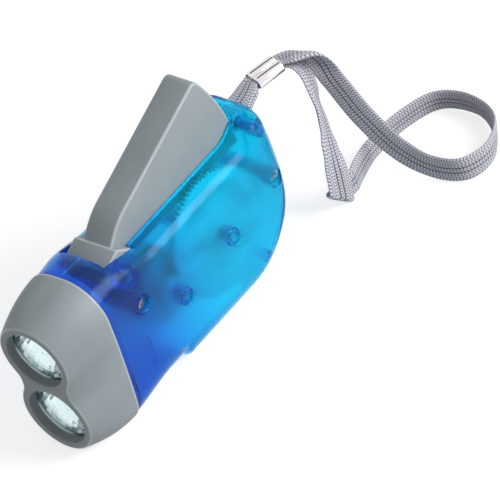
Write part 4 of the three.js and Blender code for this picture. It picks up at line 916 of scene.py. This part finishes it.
def shell_holes(side, tips):
    """The holes for the shafts and pins, the ring marks' recesses and the screw holes."""
    holes = [
        etched_all_over(shell_bar(side, "bore", POSTS[key][:2], radius, tips[key] - 2, deep, 40))
        for key, (radius, deep) in BORES.items()
    ]
    holes += [
        shell_bar(side, "recess", place, RECESS_RADIUS, RECESS_Y, FAR, 64) for place in (GEAR, ROTOR)
    ]
    for x, z, _ in (POSTS["front_screw"], POSTS["rear_screw"]):
        if side < 0:
            seat = body_section(x, 0)[0] - HEAD_BELOW - HEAD_ROOM
            holes.append(shell_bar(side, "shank", (x, z), SHANK_RADIUS, 0, seat + 2, 40))
            holes.append(shell_bar(side, "counterbore", (x, z), COUNTERBORE_RADIUS, seat, FAR))
        else:
            holes.append(shell_bar(side, "thread", (x, z), THREAD_RADIUS, 0, THREAD_END, 40))
    return holes


print("bores", ", ".join(BORES))


# %% [markdown]
# The posts are trimmed by a slightly smaller body before they are joined, so they
# never show outside. The faces of the hollow then get a mark of their own, as an
# attribute on the mesh, which the clear finish reads to blur them.

# %% Both half shells
TRIM = 0.5


def half_shell(side, name):
    """One half of the body, side -1 for the left one, which faces the camera."""
    tips = {
        "pivot": 8.6, "gear": 9.4 if side < 0 else 5.8, "rotor": 9.4 if side < 0 else 9.0,
        "front_screw": 0.15, "rear_screw": 0.15, "strap": 6, "stud": SHELL_INNER - 3.6,
    }
    shell = shell_skin(side, name)
    posts = shell_posts(side, tips)
    for post in posts:
        core = lofted("core", [body_ring(x, TRIM) for x in body_stations(TRIM)])
        combined(etched_all_over(post), [core], "INTERSECT")
    combined(shell, posts, "UNION")
    combined(shell, [
        shell_bar(side, "ring", place, RING_RADIUS, SHELL_INNER, RING_Y, 64) for place in (GEAR, ROTOR)
    ], "UNION")
    return combined(shell, shell_holes(side, tips), "DIFFERENCE")


def mark_inside(shell):
    """Writes 1 on the faces of the hollow and 0 elsewhere, for the finish to read."""
    frost = shell.data.attributes.new("frost", "FLOAT", "FACE")
    frost.data.foreach_set("value", [float(face.material_index) for face in shell.data.polygons])
    for face in shell.data.polygons:
        face.material_index = 0
    while len(shell.data.materials) > 1:
        shell.data.materials.pop()


for side, name, solid in ((-1, "left_half", "left_shell"), (1, "right_half", "right_shell")):
    shell = half_shell(side, name)
    mark_inside(shell)
    dress(shell, "housing", clear_blue, [solid], 32)
    print(name, "faces", len(shell.data.polygons))

# %% [markdown]
# Each finish is a moulded, drawn or wound material with its own fine grain: etched
# grey plastic on the cap and the lever, milky nylon on the gears, turned brass,
# drawn steel, pressed ferrite. The grain is a small bump and a roughness that
# wanders, at the size that the real surface has, so none of them is a flat colour.

# %% Finishes
grey, grey_shader = finish_named("grey_plastic", Roughness=0.5, Specular_IOR_Level=0.4)
grey_place, grey_noise = grain(grey, grey_shader, 0.28, 0.014, (0.46, 0.6))
cloud = node(grey, "ShaderNodeTexNoise", {"Vector": grey_place, "Scale": 60.0, "Detail": 2.0})
grey_tone = math_node(grey, "MULTIPLY_ADD", grey_noise, 0.4, cloud.outputs["Fac"])
feed(grey, ramp(grey, grey_tone, [
    (0.35, srgb(138, 148, 152)), (0.95, srgb(153, 162, 167)),
]), grey_shader, "Base Color")
# Lighter grey for rounded edges: a painted highlight along them, with a lower roughness.
grey_edge_highlight = plain_finish("grey_plastic_painted_highlight", (176, 184, 189), 0.35, 0.28, 0.008, (0.3, 0.45))
nylon = plain_finish(
    "nylon", (223, 227, 229), 0.45, 0.5, 0.01, (0.38, 0.55),
    Subsurface_Weight=0.2, Subsurface_Scale=0.001,
)
blue_nylon = plain_finish("blue_nylon", (50, 120, 200), 0.4, 0.5, 0.01, (0.35, 0.5))
plain_yarn = plain_finish("webbing_plain", (206, 210, 220), 0.85, 0.6, 0.06, (0.8, 0.9))
slate = plain_finish("slate_plastic", (48, 24, 132), 0.45, 0.3, 0.01, (0.4, 0.55))
steel = plain_finish("steel", (190, 192, 196), 0.3, 0.3, 0.004, (0.22, 0.4), Metallic=1.0)
brass = plain_finish("brass", (206, 202, 200), 0.35, 0.6, 0.005, (0.25, 0.4), Metallic=0.6)
ferrite = plain_finish("ferrite", (92, 94, 104), 0.55, 0.2, 0.02, (0.45, 0.65))
board_green = plain_finish("board_green", (34, 110, 62), 0.4, 0.5, 0.008, (0.3, 0.5))
red = plain_finish("red_lead", (180, 24, 24), 0.4, 0.3, 0.01, (0.35, 0.5))
black = plain_finish("black_lead", (26, 26, 28), 0.4, 0.3, 0.01, (0.35, 0.5))
wire = plain_finish("enamelled_wire", (186, 128, 100), 0.3, 0.4, 0.01, (0.25, 0.4), Metallic=0.6)
clear = plain_finish(
    "clear_lens", (255, 255, 255), 0.02, 2.5, 0.01, Transmission_Weight=1.0, IOR=1.49,
)
diode = plain_finish(
    "diode_clear", (176, 232, 248), 0.1, 1.0, 0.01, Transmission_Weight=0.2, IOR=1.5,
)
print("materials so far", len(bpy.data.materials))

# %% [markdown]
# The grey head cap is one moulding. At the front it is two round lobes joined by a
# waist, one lobe round each lens, and it grows into the tall rounded rim that meets
# the shells. A subdivision surface could give a form like this, but here the two ends
# are known exactly, so each ring between them is a share of one and of the other.

# %% Outlines of the head cap
CAP_LENGTH, FRONT_MIDDLE_Z = 20, 24.5
LENS_Z, LENS_OPENING = (13.0, 36.0), 10.0
LOBE_UP, LOBE_REACH, WAIST_HALF, WAIST_UP = 11.5, 12.4, 9.2, 14
CAP_EDGE, CAP_LIP, EDGE_STEPS, LIP_STEPS = 0.6, 0.4, 10, 5


def front_reach(angle):
    """Distance from the middle of the cap's front to its edge, in a direction."""
    across, up = abs(math.cos(angle)), abs(math.sin(angle))
    lobe = LOBE_UP * up + math.sqrt(max(0, LOBE_REACH ** 2 - (LOBE_UP * across) ** 2))
    waist = 1 / math.hypot(across / WAIST_HALF, up / WAIST_UP)
    return (lobe ** 8 + waist ** 8) ** (1 / 8)


def rim_reach(angle):
    """The same for the rim, a rounded rectangle."""
    across, up = abs(math.cos(angle)), abs(math.sin(angle))
    corner = RIM_TOP_CORNER if math.sin(angle) > 0 else RIM_LOW_CORNER
    y, z = RIM_HALF - corner, RIM_Z / 2 - corner
    if up * RIM_HALF < z * across:
        return RIM_HALF / across
    if across * RIM_Z / 2 < y * up:
        return RIM_Z / 2 / up
    along = y * across + z * up
    return along + math.sqrt(along ** 2 - y ** 2 - z ** 2 + corner ** 2)


def cap_ring(x, inset, flat=False, count=192):
    """The cap's ring at x, set in from its outer surface, leaning with the rim or flat."""
    share = 1 - (1 - (x - FRONT_X) / CAP_LENGTH) ** 2
    middle = mix(FRONT_MIDDLE_Z, RIM_Z / 2, share)
    ring = []
    for i in range(count):
        angle = 2 * math.pi * i / count
        reach = mix(front_reach(angle), rim_reach(angle), share) - inset
        z = middle + reach * math.sin(angle)
        ring.append((x if flat else x - share * rim_lean(z), reach * math.cos(angle), z))
    return ring


front_sizes = [round(front_reach(angle), 2) for angle in (0, math.pi / 2)]
print("half width and half height of the cap's front", front_sizes)

# %% [markdown]
# The cap is lofted over these rings, with a rounded edge in front and a small lip at
# the rim. Both are painted lighter, a painted highlight along the edge, so their faces
# carry a second finish. The inside, the socket for the shells and two stepped wells for
# the lenses are cut away, each well again with a painted highlight on its rounded edge.

# %% Head cap
def quarter_round(radius, steps):
    """Points (gone along, set in) of a rounded edge, from full inset to none."""
    return [
        (radius * (1 - math.cos(a)), radius * (1 - math.sin(a)))
        for a in spaced(0, math.pi / 2, steps)
    ]


def lens_well(z):
    """What is cut away round a lens: a rounded edge, the opening and a wider seat."""
    well = [(0, -2), (LENS_OPENING + 3, -2), (LENS_OPENING + CAP_LIP, -0.01)]
    well += [(LENS_OPENING + inset, along) for along, inset in quarter_round(CAP_LIP, 6)[1:]]
    well += [(10, 3.2), (11, 3.2), (11, 8), (0, 8)]
    tool = two_finishes(turned("well", well, "X", (FRONT_X, 0, z), 128))
    for face in tool.data.polygons:
        # Faces on the well's rounded edge take the second slot, the painted edge highlight.
        face.material_index = int(0 < face.center.x / MM - FRONT_X < CAP_LIP)
    return tool


def head_cap():
    front_edge = quarter_round(CAP_EDGE, EDGE_STEPS)
    rings = [cap_ring(FRONT_X + x, inset, flat=True) for x, inset in front_edge]
    rings += [cap_ring(x, 0) for x in spaced(FRONT_X + CAP_EDGE, RIM_X - CAP_LIP - 0.4, 24)[1:]]
    rings.append(cap_ring(RIM_X - CAP_LIP, 0))
    rim_lip = quarter_round(CAP_LIP, LIP_STEPS)[1:]
    rings += [cap_ring(RIM_X - back, inset) for inset, back in rim_lip]
    cap = two_finishes(lofted("torch_head", rings))
    last = len(rings) - 1
    for face in cap.data.polygons:
        row = face.index // len(rings[0])
        # The front edge and the rim lip take the second slot, the painted edge highlight.
        face.material_index = int(row < EDGE_STEPS - 1 or last - LIP_STEPS - 1 <= row < last)
    inner = [cap_ring(x, CAP_WALL) for x in spaced(FRONT_X + 6, RIM_X, 12)]
    inner.append([(x + 2, y, z) for x, y, z in inner[-1]])
    socket = rim_rings(CAP_WALL - REVEAL, RIM_X - 4.2, RIM_X + 2)
    cuts = [lofted("inner", inner), lofted("socket", socket), *map(lens_well, LENS_Z)]
    return combined(cap, cuts, "DIFFERENCE")


torch_head = dress(head_cap(), "housing", grey, ["head_cap"], 30, grey_edge_highlight)
print("cap faces", len(torch_head.data.polygons))

# %% [markdown]
# The lever is a hollow grey moulding: two ears on the pin and a long arm, open below
# where the toothed bar sits. Its outline is drawn from the side, with the pivot as
# its origin: up the foot, over the kink, along the slope and round the tip.

# %% Outline of the lever
LEVER_REACH, LEVER_SLOPE, LEVER_WALL = 61.4, math.radians(19.9), 1.6
FOOT_SLOPE, LEVER_LOW = math.radians(42), -math.radians(2.5)
KINK, KINK_ROUND, TIP_ROUND, TIP_DROP = (9.3, 12.1), 4, 2.6, 2.3
FOOT_X, TOE, HOLLOW_X, HOLLOW_LOW = 2.2, (8.2, -1.5), 10.8, -6.5
ARM_HALF, HOLLOW_HALF, EARS_HALF = 5.5, 3.9, 8.3
HUB_RADIUS, PIN_HOLE_RADIUS = 4.5, 1.8


def going(start, angle, length):
    """The point at a length from start in a direction."""
    return start[0] + length * math.cos(angle), start[1] + length * math.sin(angle)


def slope_meets(radius, drop):
    """Where the lever's top, lowered by drop, meets a circle about the pivot."""
    x, z = KINK[0], KINK[1] - drop / math.cos(LEVER_SLOPE)
    along = x * math.cos(LEVER_SLOPE) + z * math.sin(LEVER_SLOPE)
    reach = -along + math.sqrt(along ** 2 - x ** 2 - z ** 2 + radius ** 2)
    return going((x, z), LEVER_SLOPE, reach)


def bend(start, middle, end):
    """Points of a quadratic curve, without its start."""
    return [
        tuple(
            (1 - t) ** 2 * a + 2 * t * (1 - t) * b + t * t * c
            for a, b, c in zip(start, middle, end)
        )
        for t in spaced(0, 1, 10)[1:]
    ]


def lever_outline():
    """The arm from the side: up the foot, over the kink, round the tip and back."""
    tip = slope_meets(LEVER_REACH, 0)
    end_z = tip[1] - TIP_DROP
    end = (math.sqrt(LEVER_REACH ** 2 - end_z ** 2), end_z)
    kink_in, kink_out = going(KINK, FOOT_SLOPE, -KINK_ROUND), going(KINK, LEVER_SLOPE, KINK_ROUND)
    tip_in = going(tip, LEVER_SLOPE, -TIP_ROUND)
    foot_z = KINK[1] - (KINK[0] - FOOT_X) * math.tan(FOOT_SLOPE)
    return [
        (FOOT_X, foot_z), kink_in, *bend(kink_in, KINK, kink_out), tip_in, *bend(tip_in, tip, end),
        *arc_points(LEVER_REACH, math.atan2(end[1], end[0]), LEVER_LOW, 30)[1:],
        TOE, (FOOT_X, TOE[1]),
    ]


def hollow_outline():
    """The arm's hollow from the side, open below."""
    inner = LEVER_REACH - LEVER_WALL
    roof = slope_meets(inner, LEVER_WALL)
    start_z = KINK[1] + (HOLLOW_X - KINK[0]) * math.tan(LEVER_SLOPE)
    start_z -= LEVER_WALL / math.cos(LEVER_SLOPE)
    back = arc_points(inner, math.atan2(roof[1], roof[0]), 2 * LEVER_LOW, 30)[1:]
    return [(HOLLOW_X, HOLLOW_LOW), (HOLLOW_X, start_z), roof, *back, (inner, HOLLOW_LOW)]


print("lever outline", len(lever_outline()), "points")

# %% [markdown]
# The outline is carried across, and a Bevel modifier rounds the long edges. The bevel
# comes before the hollow is cut, because on the real lever only the outside edges are
# round. The rounded edges get the lighter finish, a painted highlight along them.

# %% Squeeze lever
def rounded(piece, width, segments, degrees=50):
    """Rounds the edges that are sharper than an angle."""
    bevel = piece.modifiers.new("round", "BEVEL")
    bevel.width, bevel.segments = width * MM, segments
    bevel.limit_method, bevel.angle_limit = "ANGLE", math.radians(degrees)
    bevel.use_clamp_overlap = True
    two_finishes(piece)
    # The bevel's rounded faces take the second slot, which dress fills with the painted edge
    # highlight.
    bevel.material = 1
    return settle(piece)


def squeeze_lever():
    arm = rounded(plate("lever_body", at_pivot(lever_outline()), ARM_HALF), 0.7, 4)
    ears = [(-4, 0), (-4, 4.4), (3, 7.1), (TOE[0], 3.3), TOE, (0, TOE[1])]
    ears = rounded(plate("ears", at_pivot(ears), EARS_HALF), 0.5, 3, 25)
    hub = rounded(bar("hub", PIVOT, HUB_RADIUS, -EARS_HALF, EARS_HALF, 96), 0.3, 2)
    combined(arm, [ears, hub], "UNION")
    pin_hole = bar("pin_hole", PIVOT, PIN_HOLE_RADIUS, -10, 10, 48)
    hollow = plate("hollow", at_pivot(hollow_outline()), HOLLOW_HALF)
    return combined(arm, [hollow, pin_hole], "DIFFERENCE")


lever_body = dress(squeeze_lever(), "lever", grey, ["squeeze_lever"], 30, grey_edge_highlight)
print("lever faces", len(lever_body.data.polygons))

# %% [markdown]
# The bowls are silvered. Each small mirror gets a painted reflection: a tone of its own
# in the colour, for the part of the room it looks at; many get a painted dark edge line.
# The mesh carries both: a tone on each face, and coordinates that run over it.

# %% Silvered finish
silver, silver_shader = finish_named("silvered", Metallic=1.0, Roughness=0.05)
grain(silver, silver_shader, 1.6, 0.012, (0.03, 0.09))
mirror_axes = node(silver, "ShaderNodeSeparateXYZ", {
    "Vector": node(silver, "ShaderNodeUVMap", uv_map="mirror").outputs["UV"],
}).outputs
painted_edge_line = math_node(silver, "MINIMUM", *(
    math_node(silver, "PINGPONG", mirror_axes[axis], 0.5) for axis in "XY"
))
painted_reflection = node(silver, "ShaderNodeAttribute", attribute_name="tone").outputs["Fac"]
painted_edge_line = math_node(silver, "MULTIPLY", painted_edge_line, 10.0)
# Painted reflection: each mirror's tone and the painted dark line at its edges set the metal's colour.
feed(silver, ramp(silver, math_node(silver, "MINIMUM", painted_edge_line, painted_reflection), [
    (0.0, srgb(70, 80, 84)), (0.35, srgb(176, 204, 212)),
    (0.7, srgb(244, 253, 254)), (1.0, srgb(212, 245, 250)),
]), silver_shader, "Base Color")
print("nodes in the silvered finish", len(silver.node_tree.nodes))

# %% [markdown]
# Each lamp is a silvered bowl made of many small flat mirrors, with a diode in its
# neck and a clear lens in front. The mirrors throw the light in one broad beam and
# give the broken, sparkling look. A turned bowl with few sides and hard edges gives
# them, and each ring is turned 0.4 of a mirror further than the ring before it. The
# mirrors' painted reflections and painted dark edge lines differ a little by chance,
# as a formula of their place and not as a draw.

# %% Faceted bowls
LENS_X, DIODE_X = FRONT_X + 3.4, -33.7
BOWL_X, BOWL_DEPTH, BOWL_WALL = LENS_X + 1.4, 8.9, 0.9
MOUTH_RADIUS, NECK_RADIUS, FLANGE_RADIUS = 9.7, 2.8, 10.8
MIRROR_TURN = 0.4


def bowl_radius(share):
    """The bowl is a parabola from its mouth, share 0, to the diode's hole, share 1."""
    return math.sqrt(mix(MOUTH_RADIUS ** 2, NECK_RADIUS ** 2, share))


def faceted_bowl(name, z, sides=30, steps=7):
    """The silvered bowl, its inside as rings of small mirrors that wind round it."""
    profile = [(bowl_radius(s), BOWL_DEPTH * s) for s in spaced(0, 1, steps)]
    profile += [(bowl_radius(s) + BOWL_WALL, BOWL_DEPTH * s) for s in spaced(1, 0.15, 6)]
    profile += [(profile[-1][0], 1.0), (FLANGE_RADIUS, 1.0), (FLANGE_RADIUS, 0.0)]
    points, marks, painted_reflections = [], [], []
    for i, (radius, x) in enumerate(profile):
        turn = MIRROR_TURN * i if i <= steps else 0
        for k in range(sides):
            angle = 2 * math.pi * (k + turn) / sides
            points.append((BOWL_X + x, radius * math.cos(angle), z + radius * math.sin(angle)))
            # Chance picks each mirror's painted dark edge line and its painted reflection tone.
            chance = math.sin(12.9898 * i + 78.233 * k) * 43758.5453 % 1
            low = 0 if chance < 0.35 - 0.05 * i else min(0.05, 0.015 * (i + 1))
            marks += [low, low, 1 - low, low, 1 - low, 1 - low, low, 1 - low]
            painted_reflections.append(min(0.7 + 0.1 * i, 0.05 + 0.25 * i + 1.1 * chance))
    mesh = mesh_of(name, points, quads(len(profile), sides, closed=True))
    mesh.uv_layers.new(name="mirror").data.foreach_set("uv", marks)
    mesh.attributes.new("tone", "FLOAT", "FACE").data.foreach_set("value", painted_reflections)
    return outward(object_of(name, mesh))


print("bowl's mouth", bowl_radius(0), "mm and neck", bowl_radius(1), "mm")

# %% [markdown]
# The lens is a disc with a slight crown, and the diode a dome on a small flange. Both
# are turned, and both lamps are made alike, the lower one first.

# %% Lamps in the head
LENS_CROWN, LENS_THICK = 0.4, 1.2
DIODE_RADIUS, DIODE_LENGTH, DIODE_FLANGE = 2.5, 8.6, 2.9


def lens_disc(name, z):
    crown = [(FLANGE_RADIUS * s, -LENS_CROWN * (1 - s ** 2)) for s in spaced(0, 1, 12)]
    profile = [*crown, (FLANGE_RADIUS, LENS_THICK), (0, LENS_THICK)]
    return turned(name, profile, "X", (LENS_X, 0, z), 96)


def diode_body(name, z):
    dome = quarter_round(DIODE_RADIUS, 12)
    profile = [(DIODE_RADIUS - inset, along - DIODE_LENGTH) for along, inset in dome]
    profile += [(DIODE_RADIUS, -1), (DIODE_FLANGE, -0.9), (DIODE_FLANGE, 0), (0, 0)]
    return turned(name, profile, "X", (DIODE_X, 0, z), 48)


for level, z in zip(("lower", "upper"), LENS_Z):
    dress(faceted_bowl(level + "_bowl", z), "housing", silver, [level + "_reflector"], 1)
    dress(lens_disc(level + "_lens_disc", z), "housing", clear, [level + "_lens"], 30)
    dress(diode_body(level + "_diode", z), "housing", diode, [level + "_led"], 30)
    print(level, "lamp at", z, "mm")

# %% [markdown]
# The two screws that hold the halves together have a cross recess, and their heads
# lie a little below the flank. They are turned, with a round edge, and the cross is
# cut with two thin blocks, as the real header punches it.

# %% Screws
CROSS_HALF, CROSS_REACH, CROSS_DEPTH = 0.35, 1.43, 0.7


def cross_screw(name, x, z, length):
    head_y = HEAD_BELOW - body_section(x, 0)[0]
    profile = [(0, 0), (1.9, 0), (2.2, 0.12), (2.3, 0.4), (2.3, 1.6), (1.1, 1.6)]
    profile += [(1.1, length - 1.1), (0.28, length), (0, length)]
    cross = [
        block("slot", (x - a, head_y - 1, z - b), (x + a, head_y + CROSS_DEPTH, z + b))
        for a, b in ((CROSS_REACH, CROSS_HALF), (CROSS_HALF, CROSS_REACH))
    ]
    return combined(turned(name, profile, "Y", (x, head_y, z), 48), cross, "DIFFERENCE")


for place, key in (("front", "front_screw"), ("rear", "rear_screw")):
    x, z, _ = POSTS[key]
    low, high = (corner[1] / MM for corner in (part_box(key)[0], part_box(key)[1]))
    dress(cross_screw(place + "_cross_screw", x, z, high - low), "housing", steel, [key], 30)
    print(key, round(high - low, 1), "mm long")

# %% [markdown]
# The large gear's solid has six round openings in its web. In the picture the web
# looks whole, as it does where a moulder leaves a thin floor in each pocket. The
# finer gear is a copy of the solid's mesh, teeth and all, with that floor joined on.

# %% Large gear
WEB_Y, WEB_HALF, WEB_RADIUS = -7.3, 0.4, 16

gear_mesh = welded(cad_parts["drive_gear"].data.copy(), 1e-6)
web = bar("web", GEAR, WEB_RADIUS, WEB_Y - WEB_HALF, WEB_Y + WEB_HALF, 96)
large_gear = combined(object_of("pocketed_gear", gear_mesh), [web], "UNION")
dress(large_gear, "gear", nylon, ["drive_gear"], 40)
print("gear faces", len(large_gear.data.polygons))

# %% [markdown]
# The other inside pieces keep their solids, which have the real teeth and holes, and
# get their finish here. Two modifiers make them finer without touching the solids: a
# small Bevel gives the gears and turned pieces the worn edge that catches light, and
# a Subdivision Surface makes the spring and the two leads round.

# %% Finishes for the solids
finishes = {
    "led_board": board_green, "sector_rack": slate, "drive_pinion": nylon,
    "rotor_pinion": nylon, "gear_shaft": steel, "rotor_shaft": steel, "lever_pin": steel,
    "return_spring": steel, "flywheel": brass, "magnet_rotor": ferrite, "stator_cup": steel,
    "coil_bobbin": nylon, "coil_winding": wire, "red_lead": red, "black_lead": black,
    "strap_anchor": plain_yarn, "strap_pin": blue_nylon,
}
ROUND = ("return_spring", "red_lead", "black_lead")
for name, look in finishes.items():
    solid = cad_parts[name]
    for k in range(len(solid.data.materials)):
        solid.data.materials[k] = look
    if not solid.data.materials:
        solid.data.materials.append(look)
    if name in ROUND:
        finer = solid.modifiers.new("round_wire", "SUBSURF")
        finer.levels = finer.render_levels = 1
    else:
        worn = solid.modifiers.new("worn_edge", "BEVEL")
        worn.width, worn.segments = 0.12 * MM, 2
        worn.limit_method, worn.angle_limit = "ANGLE", math.radians(40)
    smooth(solid, 180 if name in ROUND else 40)
print("solids with a finish", len(finishes))

# %% [markdown]
# The picture was lit by a large soft box from the left, above and a little behind,
# which draws the pale line along the top edge of the shell. A round area lamp does
# this. The floor and the world are seen as plain white, also by chrome and through
# the clear plastic, but light the torch at a plain level.

# %% Floor, world and lamp
FLOOR_HALF = 1500
WORLD_LEVEL, PAPER_GLOW = 0.38, 0.7


def white_when_seen(look, dim):
    """1 where a camera, glossy or transmission ray looks, and a dim level for light."""
    rays = node(look, "ShaderNodeLightPath").outputs
    seen = math_node(look, "MAXIMUM", rays["Is Camera Ray"], rays["Is Glossy Ray"])
    seen = math_node(look, "MAXIMUM", seen, rays["Is Transmission Ray"])
    spread = node(look, "ShaderNodeMapRange", {"Value": seen, "To Min": dim, "To Max": 1.0})
    return spread.outputs["Result"]


def sheet(name, corners, z):
    """A flat sheet at a height, from its corners."""
    return object_of(name, mesh_of(name, [(x, y, z) for x, y in corners], [(0, 1, 2, 3)]))


world = bpy.data.worlds.new("studio")
bpy.context.scene.world = world
world.use_nodes = True
backing = world.node_tree.nodes["Background"]
backing.inputs["Color"].default_value = (1, 1, 1, 1)
feed(world, white_when_seen(world, WORLD_LEVEL), backing, "Strength")

corners = [(FLOOR_HALF * x, FLOOR_HALF * y) for x, y in ((-1, -1), (1, -1), (1, 1), (-1, 1))]
floor = sheet("floor", corners, 0)
paper, paper_shader = finish_named(
    "paper", Base_Color=(0.55, 0.55, 0.55, 1), Roughness=0.9, Specular_IOR_Level=0.1,
    Emission_Color=(1, 1, 1, 1),
)
glow = math_node(paper, "MULTIPLY", white_when_seen(paper, 0.0), PAPER_GLOW)
feed(paper, glow, paper_shader, "Emission Strength")
floor.data.materials.append(paper)

light = bpy.data.lights.new("soft_box", "AREA")
light.shape, light.size, light.energy = "DISK", 0.5, 6.8
soft_box = bpy.data.objects.new("soft_box", light)
soft_box.location = metres((350, -700, 500))
soft_box.rotation_mode = "QUATERNION"
towards = metres((20, 0, 20)) - soft_box.location
soft_box.rotation_quaternion = towards.to_track_quat("-Z", "Y")
bpy.context.scene.collection.objects.link(soft_box)
print("soft box of", light.energy, "W at", round(towards.length, 2), "m")

# %% [markdown]
# Bright metal shows only what stands round it, and in a white room it turns white.
# A photographer hangs a card above, here a dull grey brown one, which gives each
# lobe of the crimp its darker band. It lights nothing, and only bright metal shows it.

# %% Dark card
card = sheet("dark_card", [(60, 90), (460, -10), (530, 220), (130, 320)], 480)
card.data.materials.append(plain_finish("dark_card", (128, 112, 114), 0.9, 4, 0.2))
card.visible_camera = card.visible_diffuse = False
card.visible_shadow = card.visible_transmission = False
print("card", [round(size, 2) for size in card.dimensions[:2]], "m")

# %% [markdown]
# The picture is judged by its colours as they are, so the view adds no curve of its
# own, as a view made for films would.

# %% View
view_settings = bpy.context.scene.view_settings
view_settings.view_transform = "Standard"
print("view transform", view_settings.view_transform)
